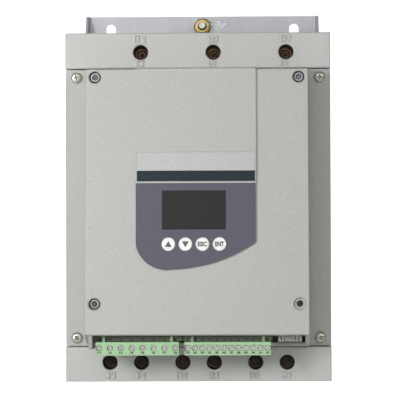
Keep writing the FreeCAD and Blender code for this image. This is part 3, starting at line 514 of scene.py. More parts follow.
def make_looks():
    """One material for each slot, and for the pieces that look unlike their slot."""
    looks = {}
    looks["case_plastic"] = moulded("case_plastic_look", srgb(188, 188, 185))
    looks["cover_plastic"] = moulded("cover_plastic_look", srgb(177, 177, 173))
    looks["strip_plastic"] = moulded("strip_plastic_look", srgb(182, 182, 181), rough=0.42)

    look = Look("plate_steel_look", srgb(187, 188, 193), 0.55, metal=0.3, mottle=0.03, mottle_size=22.0)
    look.paint(look.spread(look.cells(9.0), 0.0, 0.16, start=0.2, end=0.9), srgb(176, 180, 190))
    look.paint(look.spread(look.noise(3.0, stretch=(1.0, 1.0, 0.05)), 0.0, 0.06), srgb(232, 234, 238))
    # Painted highlight: near-white colour on the plate's rounded edges.
    look.edges(srgb(236, 236, 236), 0.5, 0.5)
    looks["plate_steel"] = look.grain(0.6, 0.004, stretch=(1.0, 1.0, 0.08)).grain(6.0, 0.01)

    # Painted highlight: the earth sign's raised dots and bars are near white, as if catching the light,
    # where the plate itself is grey steel.
    look = Look("emboss_painted_highlight_look", srgb(250, 250, 252), 0.4, mottle=0.02, mottle_size=1.0)
    looks["emboss_painted_highlight"] = look.grain(0.4, 0.004)

    # Painted highlight on the screw heads' edges, and painted shade darkening the cross recesses and other
    # hollows.
    look = Look("screw_steel_look", srgb(198, 195, 184), 0.42, metal=0.85, mottle=0.08, mottle_size=2.5)
    look.edges(srgb(245, 245, 240), 0.25, 0.6)
    looks["screw_steel"] = look.painted_crevice_shade(srgb(40, 38, 34), 1.5, 0.95).grain(0.3, 0.003)
    # Painted highlight: white colour on the rounded edges.
    look = Look("bright_steel_look", srgb(184, 182, 180), 0.46, metal=0.85, mottle=0.10, mottle_size=1.5)
    looks["bright_steel"] = look.edges(srgb(250, 250, 250), 0.2, 0.5).grain(0.3, 0.002)
    # Painted highlight on the edges, and painted shade darkening the slots.
    look = Look("plug_steel_look", srgb(206, 204, 200), 0.36, metal=0.9, mottle=0.15, mottle_size=1.2)
    look.edges(srgb(245, 245, 245), 0.2, 0.5).painted_crevice_shade(srgb(44, 42, 40), 1.2, 0.95)
    looks["plug_steel"] = look.grain(0.3, 0.003)
    # Painted highlight: a strong white ring on the edges; painted shade darkening the well and cross recess.
    look = Look("blued_steel_look", srgb(88, 90, 102), 0.34, metal=1.0, mottle=0.10, mottle_size=1.5)
    look.edges(srgb(250, 250, 252), 0.3, 0.95).painted_crevice_shade(srgb(30, 30, 36), 1.5, 0.9)
    looks["blued_steel"] = look.grain(0.3, 0.002)

    look = Look("earth_brass_look", srgb(172, 152, 98), 0.4, metal=1.0, mottle=0.08, mottle_size=3.0)
    look.paint(look.spread(look.noise(1.6, detail=4), 0.0, 0.5, start=0.5, end=0.8), srgb(172, 144, 88))
    # Painted highlight: pale colour on the nut's rounded edges.
    look.edges(srgb(250, 238, 190), 0.35, 0.7)
    looks["earth_brass"] = look.grain(0.35, 0.004)

    # Painted shade: the cages' brass is made dark for their place deep behind the driver holes; painted
    # highlight in pale brass on their edges.
    look = Look("clamp_brass_look", srgb(66, 58, 46), 0.38, metal=1.0, mottle=0.08, mottle_size=4.0)
    looks["clamp_brass"] = look.edges(srgb(240, 215, 160), 0.4, 0.6).grain(0.4, 0.005)
    # Painted glints: bright copper colour on the edges of the dark screw heads.
    look = Look("clamp_screw_look", srgb(96, 92, 91), 0.55, metal=0.3, mottle=0.15, mottle_size=2.0)
    looks["clamp_screw"] = look.edges(srgb(255, 176, 110), 0.2, 0.9).grain(0.3, 0.004)
    look = Look("rim_copper_look", srgb(250, 176, 112), 0.4, metal=1.0, mottle=0.2, mottle_size=1.6)
    looks["rim_copper"] = look.grain(0.3, 0.003)
    # Painted shade: a darker copy of the rim copper for the rims under the plugs, with painted glints in
    # small bright copper spots.
    look = Look("copper_painted_shade_look", srgb(100, 86, 80), 0.42, metal=0.8, mottle=0.3, mottle_size=1.6)
    look.paint(look.spread(look.noise(2.2), 0.0, 0.9, start=0.6, end=0.68), srgb(240, 170, 110))
    looks["copper_painted_shade"] = look.grain(0.3, 0.003)

    look = Look("busbar_copper_look", srgb(200, 128, 92), 0.32, metal=1.0, mottle=0.08, mottle_size=12.0)
    look.paint(look.spread(look.noise(9.0, detail=5), 0.0, 0.45, start=0.5, end=0.8), srgb(120, 66, 50))
    # Painted highlight: pale colour on the rounded edges.
    look.edges(srgb(236, 180, 150), 0.4, 0.5)
    looks["busbar_copper"] = look.grain(0.5, 0.004, stretch=(1.0, 1.0, 0.05))

    look = Look("sink_aluminium_look", srgb(200, 202, 206), 0.36, metal=1.0, mottle=0.04, mottle_size=10.0)
    # Painted highlight: pale colour on the rounded edges.
    look.edges(srgb(235, 236, 240), 0.35, 0.5)
    looks["sink_aluminium"] = look.grain(0.5, 0.008, stretch=(1.0, 1.0, 0.02))

    look = Look("banner_ink_look", srgb(25, 40, 45), 0.5, mottle=0.03, mottle_size=14.0,
                Specular_IOR_Level=0.2)
    look.paint(look.spread(look.noise(0.5), 0.0, 0.05), srgb(70, 84, 90))
    looks["banner_ink"] = look.grain(0.5, 0.003)

    violet = srgb(82, 82, 93)
    look = Look("panel_violet_look", violet, 0.5, mottle=0.012, mottle_size=25.0, Specular_IOR_Level=0.3)
    look.paint(look.spread(look.noise(0.7), 0.0, 0.03), shade(violet, 1.3))
    # Painted shade: a darker violet on the film's rounded edges.
    looks["panel_violet"] = look.edges(shade(violet, 0.6), 0.3, 0.5).grain(0.35, 0.006)

    look = Look("window_look", srgb(34, 33, 31), 0.45, spread=0.02, mottle=0.02, mottle_size=20.0,
                Specular_IOR_Level=0.2)
    looks["window_dark"] = look.grain(0.5, 0.001)

    look = Look("key_white_look", srgb(227, 227, 226), 0.36, mottle=0.01, mottle_size=6.0)
    look.paint(look.spread(look.noise(0.6), 0.0, 0.03), srgb(225, 226, 228))
    looks["key_white"] = look.grain(0.4, 0.004)

    looks["black_plastic"] = moulded("black_plastic_look", srgb(48, 48, 48))
    looks["module_plastic"] = moulded("module_plastic_look", srgb(88, 88, 92), rough=0.55)
    look = Look("ink_look", srgb(72, 74, 75), 0.5, mottle=0.05, mottle_size=1.0)
    looks["ink"] = look.grain(0.3, 0.002)
    look = Look("dark_ink_look", srgb(38, 46, 36), 0.5, mottle=0.08, mottle_size=1.0)
    looks["dark_ink"] = look.grain(0.3, 0.002)

    look = Look("board_green_look", srgb(46, 104, 66), 0.32, mottle=0.05, mottle_size=20.0, Coat_Weight=0.3)
    track = look.node("ShaderNodeTexBrick", Vector=look.position, Scale=260.0)
    track.inputs["Mortar Size"].default_value = 0.035
    look.paint(look.math("MULTIPLY", track.outputs["Fac"], 0.6), srgb(96, 156, 104))
    pads = look.spread(look.cells(2.2, output="Distance"), 1.0, 0.0, start=0.10, end=0.13)
    look.paint(pads, srgb(205, 200, 180))
    looks["board_green"] = look.grain(0.6, 0.005)

    looks["plug_green"] = moulded("plug_green_look", srgb(158, 194, 150), rough=0.45)
    looks["header_green"] = moulded("header_green_look", srgb(104, 112, 92))

    look = Look("socket_tin_look", srgb(150, 147, 143), 0.42, metal=0.8, mottle=0.06, mottle_size=4.0)
    # Painted shade darkening the slits and hollows, and painted highlight in white on the edges.
    look.painted_crevice_shade(srgb(30, 28, 26), 1.0, 0.95).edges(srgb(250, 250, 250), 0.2, 0.6)
    looks["socket_tin"] = look.grain(0.5, 0.004, stretch=(1.0, 0.1, 1.0))
    look = Look("dull_tin_look", srgb(140, 138, 136), 0.5, metal=0.6, mottle=0.08, mottle_size=1.5)
    looks["dull_tin"] = look.grain(0.4, 0.004)
    return {name: look.material for name, look in looks.items()}


LOOKS = make_looks()


# Pieces

def add(name, mesh, slot, body="starter", replaces=(), look=None, at=None):
    """New piece with smooth faces, sharp where they meet at more than an angle."""
    for polygon in mesh.polygons:
        polygon.use_smooth = True
        polygon.material_index = 0
    mesh.set_sharp_from_angle(angle=SHARP_ANGLE)
    mesh = flat_shaded(mesh)
    mesh.materials.clear()
    mesh.materials.append(LOOKS[look or slot])
    piece = linked(name, mesh)
    if at is not None:
        piece.matrix_world = at
    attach(piece, body)
    if replaces:
        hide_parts(*replaces)


def refined(name, node, slot, width, cutters=(), body="starter", look=None):
    """CAD node shown by a copy with true round holes and soft edges."""
    mesh = cad_copy(node)
    if cutters:
        mesh = cut(mesh, cutters)
    add(name, soft_edged(mesh, width), slot, body, (node,), look)


def round_cutter(spots, diameter, depth0, depth1, sides=56):
    """Round holes at the spots between two depths, a hair wider than the flats of the CAD's holes."""
    bm = bmesh.new()
    for x, z in spots:
        add_prism(bm, circle(diameter / 2 + 0.01, sides, x, z), depth0, depth1)
    return mesh_of(bm, on_front(0, 0, 0))


def chassis():
    """Plate with round keyholes above and slots below."""
    half = SLOT_HALF
    neck = rounded(-half, half, -9.5, half, SLOT_RADIUS, 10)
    slot = rounded(-half, half, -12.0, half + 4.0, SLOT_RADIUS, 10)
    cutters = []
    for side in (-1, 1):
        middle = side * KEYHOLE_X
        outlines = (circle(KEYHOLE_HEAD / 2, 56, middle, KEYHOLE_HEAD_Z),
                    [(middle + x, KEYHOLE_NECK_Z + y) for x, y in neck],
                    [(middle + x, SLOT_Z + y) for x, y in slot])
        cutters += [prism(outline, -1.0, 3.0, on_front(0, 0, 0)) for outline in outlines]
    refined("back_plate", "mounting_chassis", "plate_steel", 0.35, cutters)


def earth_terminal():
    """Threaded stud, flange nut and the raised sign beside them."""
    at = on_front(EARTH[0], PLATE_FRONT, EARTH[1])
    bm = bmesh.new()
    add_thread(bm, 3.0, 0.0, 13.0, 1.0)
    add("earth_thread", mesh_of(bm), "screw_steel", look="bright_steel", at=at, replaces=("earth_stud",))

    flange = lathe([(0, 0), (6.8, 0), (6.8, 0.7), (6.6, 1.0), (5.9, 1.6), (0, 1.6)], sides=64)
    hexagon = prism(circle(10.0 / math.sqrt(3), 6), 1.4, 6.6)
    chamfer = lathe([(0, 1.0), (6.4, 1.0), (6.4, 5.9), (5.0, 6.7), (0, 6.7)], sides=64)
    nut = common(hexagon, chamfer)
    bore = lathe([(0, -1.0), (3.06, -1.0), (3.06, 6.2), (3.7, 6.8), (3.7, 8.0), (0, 8.0)])
    flange_bore = lathe([(0, -1.0), (3.06, -1.0), (3.06, 8.0), (0, 8.0)])
    nut = soft_edged(cut(nut, [bore]), 0.2)
    add("earth_flange_nut", joined([cut(flange, [flange_bore]), nut]), "earth_brass", at=at,
        replaces=("earth_nut",))

    dot = lathe([(0, -0.2), (0.95, -0.2), (0.95, 0.15), (0.8, 0.32), (0.5, 0.4), (0, 0.42)], sides=20)
    marks = [repeated(dot, [on_front(x, PLATE_FRONT, z) for x, z in EARTH_DOTS])]
    half = EARTH_BAR_WIDTH / 2
    for low, high in EARTH_BARS:
        length = math.dist(low, high)
        lean = math.degrees(math.atan2(high[1] - low[1], high[0] - low[0]))
        start = on_front(low[0], PLATE_FRONT, low[1], lean)
        marks.append(prism(rectangle(0, length, -half, half), -0.05, 0.15, start))
    # The sign takes the near-white look: a painted highlight on its dots and bars.
    add("earth_sign", joined(marks), "plate_steel", look="emboss_painted_highlight")


def terminal_marks():
    """Span, heights and plain number of each sunk field beside the driver holes."""
    rows = []
    for (x0, x1), text in zip(((-45.0, -36.2), (6.1, 17.3), (58.1, 69.4)), ("11", "21", "31")):
        rows.append((x0, x1, 105.0, 110.6, text))
    for (x0, x1), text in zip(((-43.4, -37.7), (8.6, 14.3), (60.4, 66.4)), ("1", "2", "3")):
        rows.append((x0, x1, 87.6, 91.8, text))
    spans = ((-67.8, -57.3), (-46.7, -35.7), (-15.4, -7.1), (5.0, 17.1), (36.7, 44.0), (57.1, 69.1))
    for (x0, x1), text in zip(spans, ("12", "14", "22", "24", "32", "34")):
        rows.append((x0, x1, -136.9, -131.4, text))
    return rows


def mark_fields():
    """Cutters for the sunk fields, and the raised numbers that stand in them."""
    fields, numbers = [], []
    for x0, x1, z0, z1, text in terminal_marks():
        half_x, half_z = (x1 - x0) / 2, (z1 - z0) / 2
        at = on_front((x0 + x1) / 2, BLOCK_DEPTH - FIELD_DEPTH, (z0 + z1) / 2)
        outline = rounded(-half_x - 0.4, half_x + 0.4, -half_z - 0.4, half_z + 0.4, 0.5, 3)
        fields.append(prism(outline, 0.0, 2 * FIELD_DEPTH, at, low_scale=0.84))
        sunk = at @ Matrix.Translation((0, 0, -0.8 * FIELD_DEPTH * MM))
        width = min(2 * half_x - 1.6, 3.5 * len(text))
        numbers.append(lettering(text, width, 2 * half_z - 1.2, 1.7 * FIELD_DEPTH, sunk, slope=0.06))
    return joined(fields), joined(numbers)


def housing():
    """Moulding with chamfered driver holes and sunk fields, and the clamps behind the holes."""
    rows = {"line": (LINE_X, LINE_Z), "motor": (MOTOR_X, MOTOR_Z)}
    spots = [(x, z) for row, z in rows.values() for x in row]
    r = ACCESS_HOLE / 2 + 0.12
    drill = lathe([(0, -4.0), (r, -4.0), (r, -0.6), (r + 0.6, 0.05), (r + 0.6, 1.0), (0, 1.0)], sides=56)
    drills = repeated(drill, [on_front(x, BLOCK_DEPTH, z) for x, z in spots])
    fields, numbers = mark_fields()
    moulding = soft_edged(cad_copy("power_housing"), 0.25, split=False)
    add("housing_moulding", cut(moulding, [drills, fields]), "case_plastic", replaces=("power_housing",))
    add("terminal_numbers", numbers, "case_plastic")
    for name, (row, z) in rows.items():
        guides = round_cutter([(x, z) for x in row], GUIDE_HOLE, GUIDE_FRONT, BLOCK_DEPTH)
        refined(f"{name}_guide_block", f"{name}_terminal_block", "black_plastic", 0.2, [guides])

    profile = [(0, -10.0), (4.6, -10.0), (4.7, -9.0), (4.72, -0.5), (4.3, 0.0), (3.95, 0.0), (3.6, -0.7),
               (2.9, -0.9), (2.6, -0.5), (2.3, -0.5), (1.9, -1.2), (0, -1.2)]
    screw = cut(lathe(profile), [prism(circle(1.75, 6), -8.5, 1.0)])
    places = [on_front(x, SCREW_FRONT, z, 17.0 * i) for i, (x, z) in enumerate(spots)]
    add("clamp_screw_heads", repeated(screw, places), "screw_steel", look="clamp_screw",
        replaces=("clamp_screws",))
    rim = joined([lathe([(r, -0.9), (r + 0.1, 0.1), (r + 0.35, 0.15), (r + 0.5, -0.1), (r + 0.5, -0.9),
                         (r, -0.9)]) for r in (1.9, 3.95)])
    # The motor row's rims take the darker copper: painted shade, with painted glints.
    for (name, (row, z)), look in zip(rows.items(), ("rim_copper", "copper_painted_shade")):
        rims = repeated(rim, [on_front(x, SCREW_FRONT, z) for x in row])
        add(f"{name}_screw_rims", rims, "screw_steel", look=look)
    refined("clamp_cages", "terminal_clamps", "clamp_brass", 0.25)


def cross_recess(radius, depth, half_width):
    """Tapered cross cutter below local z 0."""
    w = half_width
    points = [(w, w), (w, radius), (-w, radius), (-w, w), (-radius, w), (-radius, -w),
              (-w, -w), (-w, -radius), (w, -radius), (w, -w), (radius, -w), (radius, w)]
    return prism(points, -depth, 0.6 * depth, low_scale=0.5)


def tick_marks(inner, outer, top):
    """Four fine cutters between the arms of a cross, just below a height."""
    bm = bmesh.new()
    for quarter in range(4):
        angle = math.radians(45 + 90 * quarter)
        along = Vector((math.cos(angle), math.sin(angle)))
        across = Vector((-along.y, along.x)) * 0.09
        corners = [along * inner - across, along * outer - across,
                   along * outer + across, along * inner + across]
        add_prism(bm, [tuple(c) for c in corners], top - 0.3, top + 1.0)
    return mesh_of(bm)


def dome(radius, low, high, fullness, steps=12):
    """Profile of a rounded head, from its rim in to the axis."""
    points = []
    for i in range(steps + 1):
        angle = math.radians(90 * i / steps)
        points.append((radius * math.cos(angle) ** fullness, low + (high - low) * math.sin(angle)))
    points[-1] = (0, high)
    return points


def shanked(head):
    """A head with its threaded shank below local z 0."""
    bm = bmesh.new()
    add_thread(bm, SHANK / 2, -SHANK_LENGTH, 0.0, SHANK_PITCH, 24)
    return joined([head, mesh_of(bm)])


def pan_screw():
    """Pan head with a cross recess and fine marks between its arms."""
    head = lathe([(0, 0), (3.9, 0), (4.0, 0.15)] + dome(4.0, 0.7, 2.8, 0.62), sides=64)
    cross = cross_recess(2.5, 2.5, 0.56)
    cross.transform(Matrix.Translation((0, 0, 2.8 * MM)))
    return shanked(cut(head, [cross, tick_marks(1.2, 2.5, 2.62)]))


def sunk_screw():
    """Cheese head with a well in its top and a cross recess at the bottom of the well."""
    head = lathe([(0, 0), (3.0, 0), (3.1, 0.1), (3.1, 2.1), (2.9, 2.4), (2.3, 2.4), (2.05, 2.2), (1.95, 1.2),
                  (0, 1.1)])
    cross = cross_recess(1.5, 0.9, 0.42)
    cross.transform(Matrix.Translation((0, 0, 1.2 * MM)))
    return shanked(cut(head, [cross]))


def seat(spot, lift=0.0, turn=0.0):
    """Place on the bottom of a cover screw's counterbore."""
    x, z = spot
    return on_front(x, front_depth(z) - COUNTERBORE_DEPTH + lift, z, turn)


def screws():
    """Pan-head screws on the wings, sunk ones in three of the cover's corners, a bush in the fourth."""
    places = [on_front(x, WING_DEPTH, z, turn) for (x, z), turn in zip(WING_SCREWS, WING_SCREW_TURNS)]
    add("wing_screws", repeated(pan_screw(), places), "screw_steel", replaces=("housing_screws",))
    *used, empty = COVER_SCREWS
    places = [seat(spot, turn=turn) for spot, turn in zip(used, COVER_SCREW_TURNS)]
    add("sunk_cover_screws", repeated(sunk_screw(), places), "screw_steel", look="blued_steel",
        replaces=("cover_screws",))
    rim = lathe([(2.25, 2.0), (2.25, 2.35), (2.35, 2.5), (2.8, 2.5), (2.98, 2.3), (2.98, 2.0), (2.25, 2.0)])
    rims = repeated(rim, [seat(spot) for spot in used])
    add("sunk_screw_rims", rims, "screw_steel", look="bright_steel")
    # Painted shade: black rings on each counterbore's floor, round the screw, make the annulus read dark.
    shade_ring = lathe([(3.15, 0.0), (3.15, 0.5), (3.25, 0.6), (3.85, 0.6), (3.95, 0.5), (3.95, 0.0),
                    (3.15, 0.0)])
    shade_rings = repeated(shade_ring, [seat(spot, 0.02) for spot in used])
    add("sunk_screw_shade_rings", shade_rings, "black_plastic")
    bush = lathe([(2.3, 0.0), (2.3, 2.7), (2.6, 3.0), (3.8, 3.0), (4.0, 2.8), (4.0, 0.0), (2.3, 0.0)],
                 seat(empty, 0.02))
    add("empty_seat_bush", bush, "case_plastic", look="cover_plastic")


def trimmed(mesh, shift):
    """The part of a convex plate that is left where its own outline, moved aside, still covers it."""
    outline = bpy.data.meshes.new("outline")
    bm = bmesh.new()
    bm.from_mesh(mesh)
    loose = [bm.verts.new(v.co) for v in list(bm.verts)]
    made = bmesh.ops.convex_hull(bm, input=loose)["geom"]
    faces = [item for item in made if isinstance(item, bmesh.types.BMFace)]
    corners = {v for face in faces for v in face.verts}
    bmesh.ops.delete(bm, geom=[v for v in bm.verts if v not in corners], context="VERTS")
    bmesh.ops.recalc_face_normals(bm, faces=bm.faces)
    bmesh.ops.translate(bm, verts=bm.verts, vec=shift * MM)
    bm.to_mesh(outline)
    bm.free()
    return common(mesh, outline)


def cover():
    """Cover with round screw seats, its pad, and the films and pane on its panel."""
    cutters = []
    r = COUNTERBORE / 2
    for x, z in COVER_SCREWS:
        depth = front_depth(z) - COUNTERBORE_DEPTH - 0.01
        profile = [(0, 0), (r, 0), (r, 4.2), (r + 0.9, 5.1), (r + 0.9, 9.0), (0, 9.0)]
        cutters.append(lathe(profile, on_front(x, depth, z), 56))
        cutters.append(round_cutter([(x, z)], SCREW_BORE, depth - 6.0, depth + 1.0, 32))
    for x, z in WING_SCREWS:
        cutters.append(round_cutter([(x, z)], WING_BORE, WING_DEPTH - 4.0, WING_DEPTH + 1.0, 32))
    refined("cover_moulding", "control_cover", "case_plastic", 0.4, cutters, look="cover_plastic")
    section = [(-75.7, 200.0), (-73.1, 200.0), (-73.1, 233.2), (-75.7, 234.6)]
    pad = prism(section, 102.7, 112.6, Matrix.Rotation(math.pi, 4, "X"))
    add("left_leg_pad", soft_edged(pad, 0.3), "case_plastic", look="cover_plastic")
    refined("label_holder", "marking_strip", "strip_plastic", 0.12)
    refined("banner_band", "banner_strip", "banner_ink", 0.1)
    bm = bmesh.new()
    for x in KEYS.values():
        add_prism(bm, circle(KEY_RADIUS + 0.31, 64, x, -KEY_ROW), -1.0, 4.0)
    film = cut(cad_copy("keypad_overlay"), [mesh_of(bm, on_face(0, 0, 0))])
    film = soft_edged(trimmed(film, Vector((-0.45, 0.0, 0.3))), 0.1)
    add("panel_film", film, "panel_violet", replaces=("keypad_overlay",))
    refined("display_pane", "display_window", "window_dark", 0.15)


def keys():
    """Round keys with a raised legend each, and a fine line beyond the foot of each arrow."""
    top = PANEL_RISE + 1.0
    r = KEY_RADIUS - 0.12
    cap = [(0, -0.3), (r, -0.3), (r, top - 0.2), (r - 0.06, top - 0.06), (r - 0.2, top), (0, top)]
    legends = {
        "up": prism([(-2.45, -1.95), (2.45, -1.95), (0, 2.2)], 0, LEGEND_RISE),
        "down": prism([(-2.45, 1.95), (0, -2.2), (2.45, 1.95)], 0, LEGEND_RISE),
        "escape": lettering("ESC", 6.4, 3.4, LEGEND_RISE, Matrix.Identity(4), 0.05),
        "enter": lettering("ENT", 6.2, 3.4, LEGEND_RISE, Matrix.Identity(4), 0.05),
    }
    lines = {"up": -2.75, "down": 2.55}
    for name, x in KEYS.items():
        bm = bmesh.new()
        add_lathe(bm, cap, 64)
        add_prism(bm, rectangle(-5.45, 5.45, -5.45, 5.45), -0.3, 0.5)
        add_prism(bm, rectangle(-2.0, 2.0, -2.0, 2.0), -4.1, -0.3)
        body = f"key_{name}"
        add(f"key_cap_{name}", mesh_of(bm, on_face(x, KEY_ROW, 0)), "key_white", body, (body,))
        on_top = on_face(x, KEY_ROW, top)
        add(f"key_legend_{name}", repeated(legends[name], [on_top]), "key_white", body, look="ink")
        if name in lines:
            low = lines[name]
            line = prism(rectangle(-1.9, 1.9, low, low + 0.18), 0, 0.03, on_top)
            add(f"key_line_{name}", line, "key_white", body, look="strip_plastic")


def plug_screw(turn):
    """Cheese head with a slot and a short cross arm."""
    body = lathe([(0, -1.0), (1.85, -1.0), (1.85, -0.25), (1.6, 0.0), (0, 0.0)], sides=32)
    slot = prism(rectangle(-2.4, 2.4, -0.42, 0.42), -0.92, 1.0)
    arm = prism(rectangle(-0.34, 0.34, -1.25, 1.25), -0.88, 1.1)
    body = cut(body, [slot, arm])
    body.transform(Matrix.Rotation(math.radians(turn), 4, "Z"))
    return body


def plugs():
    """Plugs with slotted screws and numbers, and the headers with their row of small holes, darkened by
    black discs set in them as painted shade.
    """
    for name, plug in PLUGS.items():
        half = (plug["poles"] - 1) / 2
        spots = [plug["center"] + (i - half) * plug["pitch"] for i in range(plug["poles"])]
        body = f"{name}_plug"
        wells = round_cutter([(x, PLUG_SCREW_Z) for x in spots], PLUG_WELL,
                             PLUG_FRONT - 1.6, PLUG_FRONT + 1.0, 32)
        refined(f"{name}_plug_body", f"{name}_terminal_plug", "plug_green", 0.2, [wells], body)
        heads, marks = [], []
        for i, x in enumerate(spots):
            head = plug_screw(random.choice(PLUG_SCREW_TURNS))
            head.transform(on_front(x, PLUG_FRONT - 0.6, PLUG_SCREW_Z))
            heads.append(head)
            number = str(plug["first"] + i)
            marks.append(lettering(number, 2.4, 1.3, 0.03, on_front(x, PLUG_FRONT, PLUG_MARK_Z), 0.07))
        add(f"{name}_plug_screws", joined(heads), "screw_steel", body, look="plug_steel")
        add(f"{name}_plug_numbers", joined(marks), "plug_green", body, look="dark_ink")
        dots = [(x, HEADER_DOT_Z) for x in spots]
        holes = round_cutter(dots, HEADER_DOT, HEADER_FRONT - 2.0, HEADER_FRONT + 1.0, 20)
        refined(f"{name}_header_body", f"{name}_terminal_header", "header_green", 0.15, [holes])
        # Painted shade: black discs inside the header holes make them read dark.
        shade_discs = round_cutter(dots, HEADER_DOT - 0.02, HEADER_FRONT - 2.1, HEADER_FRONT - 0.4, 20)
        add(f"{name}_header_pit_shade_discs", shade_discs, "header_green", look="black_plastic")


def socket():
    """Data socket: a shell with four bent slits, its dull face and its insert."""
    slits = []
    for middle in (-SOCKET_TAB, SOCKET_TAB):
        for side in (-1, 1):
            x = middle + side * 1.1
            top = x + side * 1.1
            slit = [(x - 0.3, -107.2), (x + 0.3, -107.2), (x + 0.3, -105.0), (top + 0.3, -103.2),
                    (top - 0.3, -103.2), (x - 0.3, -105.0)]
            slit = [(SOCKET_X + a, b) for a, b in slit]
            slits.append(prism(slit, SOCKET_FRONT - 1.5, SOCKET_FRONT + 1.0, on_front(0, 0, 0)))
    refined("socket_shell", "data_socket_shield", "socket_tin", 0.12, slits)
    face = prism(rounded(-2.4, 2.4, -107.3, -101.9, 0.3), -0.05, 0.12, on_front(SOCKET_X, SOCKET_FRONT, 0))
    add("socket_face", soft_edged(face, 0.04), "socket_tin", look="dull_tin")
    refined("socket_body", "data_socket_insert", "black_plastic", 0.15)


def fan_duct():
    """Square frame with a round bore, a waist between its flanges, and one arm that bears the pin."""
    low, high, half = FAN_LOW, FAN_HIGH, FAN_HALF
    sides = prism(rounded(-half, half, -half, half, 4.0), low, high)
    bore = lathe([(0, low - 1), (FAN_BORE, low - 1), (FAN_BORE, high + 1), (0, high + 1)], sides=96)
    waist = []
    for quarter in range(4):
        mesh = prism(rectangle(-30.0, 30.0, half - 1.2, half + 2.0), low + 4.0, high - 4.0)
        mesh.transform(Matrix.Rotation(math.radians(90 * quarter), 4, "Z"))
        waist.append(mesh)
    sides = soft_edged(cut(sides, [bore, *waist]), 0.5)
    r = HUB_RADIUS
    hub = lathe([(0, low), (r - 0.5, low), (r, low + 0.5), (r, low + 2.7), (r - 0.3, low + 3.0),
                 (0, low + 3.0)], sides=64)
    pin = lathe([(0, low), (FAN_PIN, low), (FAN_PIN, high - 4.4), (FAN_PIN - 0.4, high - 4.0),
                 (0, high - 4.0)])
    arm = soft_edged(prism(rectangle(-43.0, 43.0, -1.5, 1.5), low, low + 3.0), 0.4)
    return joined([sides, hub, pin, arm])


def blade_row(along, lead, middle):
    """Points across a blade's upper side, at a share of the way from its root to its tip."""
    r = BLADE_ROOT + (BLADE_TIP - BLADE_ROOT) * along
    pitch = math.radians(58 - 18 * along)
    row = []
    for j in range(BLADE_STEPS + 1):
        s = (j / BLADE_STEPS - 0.5) * BLADE_CHORD
        camber = BLADE_CAMBER * (1 - (2 * j / BLADE_STEPS - 1) ** 2)
        across = s * math.cos(pitch) + camber * math.sin(pitch)
        rise = max(min(s * math.sin(pitch) - camber * math.cos(pitch), 9.6), -9.6)
        angle = lead + 0.10 * along ** 2 + across / r
        row.append((r * math.cos(angle), r * math.sin(angle), middle + rise))
    return row


def add_blade(bm, rows):
    """Closed blade below the rows of its upper side."""
    n = BLADE_STEPS
    top = [[bm.verts.new(p) for p in row] for row in rows]
    under = [[bm.verts.new((x, y, z - BLADE_THICKNESS)) for x, y, z in row] for row in rows]
    for i in range(n):
        for j in range(n):
            bm.faces.new((top[i][j], top[i + 1][j], top[i + 1][j + 1], top[i][j + 1]))
            bm.faces.new((under[i][j + 1], under[i + 1][j + 1], under[i + 1][j], under[i][j]))
    for i in range(n):
        bm.faces.new((top[i][0], under[i][0], under[i + 1][0], top[i + 1][0]))
        bm.faces.new((top[i + 1][n], under[i + 1][n], under[i][n], top[i][n]))
        bm.faces.new((top[n][i], under[n][i], under[n][i + 1], top[n][i + 1]))
        bm.faces.new((top[0][i + 1], under[0][i + 1], under[0][i], top[0][i]))


def fan_wheel():
    """Hub with a bore for the pin, and curved blades."""
    low, high, r = FAN_LOW + 3.3, FAN_HIGH - 1.5, HUB_RADIUS
    bore_radius, bore_end = FAN_PIN + 0.05, FAN_HIGH - 3.7
    bm = bmesh.new()
    add_lathe(bm, [(0, high), (r - 2.5, high), (r - 0.6, high - 0.7), (r, high - 2.2), (r, low),
                   (bore_radius, low), (bore_radius, bore_end), (0, bore_end)], 64)
    for blade in range(BLADES):
        lead = math.radians(360 / BLADES * blade)
        add_blade(bm, [blade_row(i / BLADE_STEPS, lead, (low + high) / 2) for i in range(BLADE_STEPS + 1)])
    return mesh_of(bm)


def fans():
    """Each fan's duct and wheel, on the fan's own axis."""
    for name, x in FANS.items():
        at = Matrix.Translation(place(x, FAN_DEPTH, 0))
        add(f"fan_duct_{name}", fan_duct(), "black_plastic", replaces=(f"fan_frame_{name}",), at=at)
        add(f"fan_wheel_{name}", fan_wheel(), "black_plastic", f"fan_{name}", (f"fan_rotor_{name}",), at=at)


def inside():
    """Pieces behind the cover and the plate that keep their CAD form, with soft edges."""
    slots = {entry["node"]: entry["material_slot"] for entry in frame["record"]["subparts"]}
    widths = {"heat_sink": 0.3, "fan_tray": 0.3, "power_screws": 0.25, "display_module": 0.15,
              "control_board": 0.2, "firing_board": 0.2}
    for i in (1, 2, 3):
        widths.update({f"thyristor_module_{i}": 0.5, f"line_busbar_{i}": 0.35,
                       f"motor_busbar_{i}": 0.35, f"current_sensor_{i}": 0.4})
    for node, width in widths.items():
        refined(f"{node}_dressed", node, slots[node], width)


chassis()
earth_terminal()
housing()
screws()
cover()
keys()
plugs()
socket()
fans()
inside()


# Floor, backdrop, light and camera, in metres

FLOOR_Z = -0.7
BEND_START = 1.2
BEND_RADIUS = 0.8
BEND_STEPS = 12
CAMERA_PLACE = (0.0287, -1.545, -0.027)
CAMERA_TURN = (1.155, 0.8, -0.20)
CAMERA_LENS = 169.65


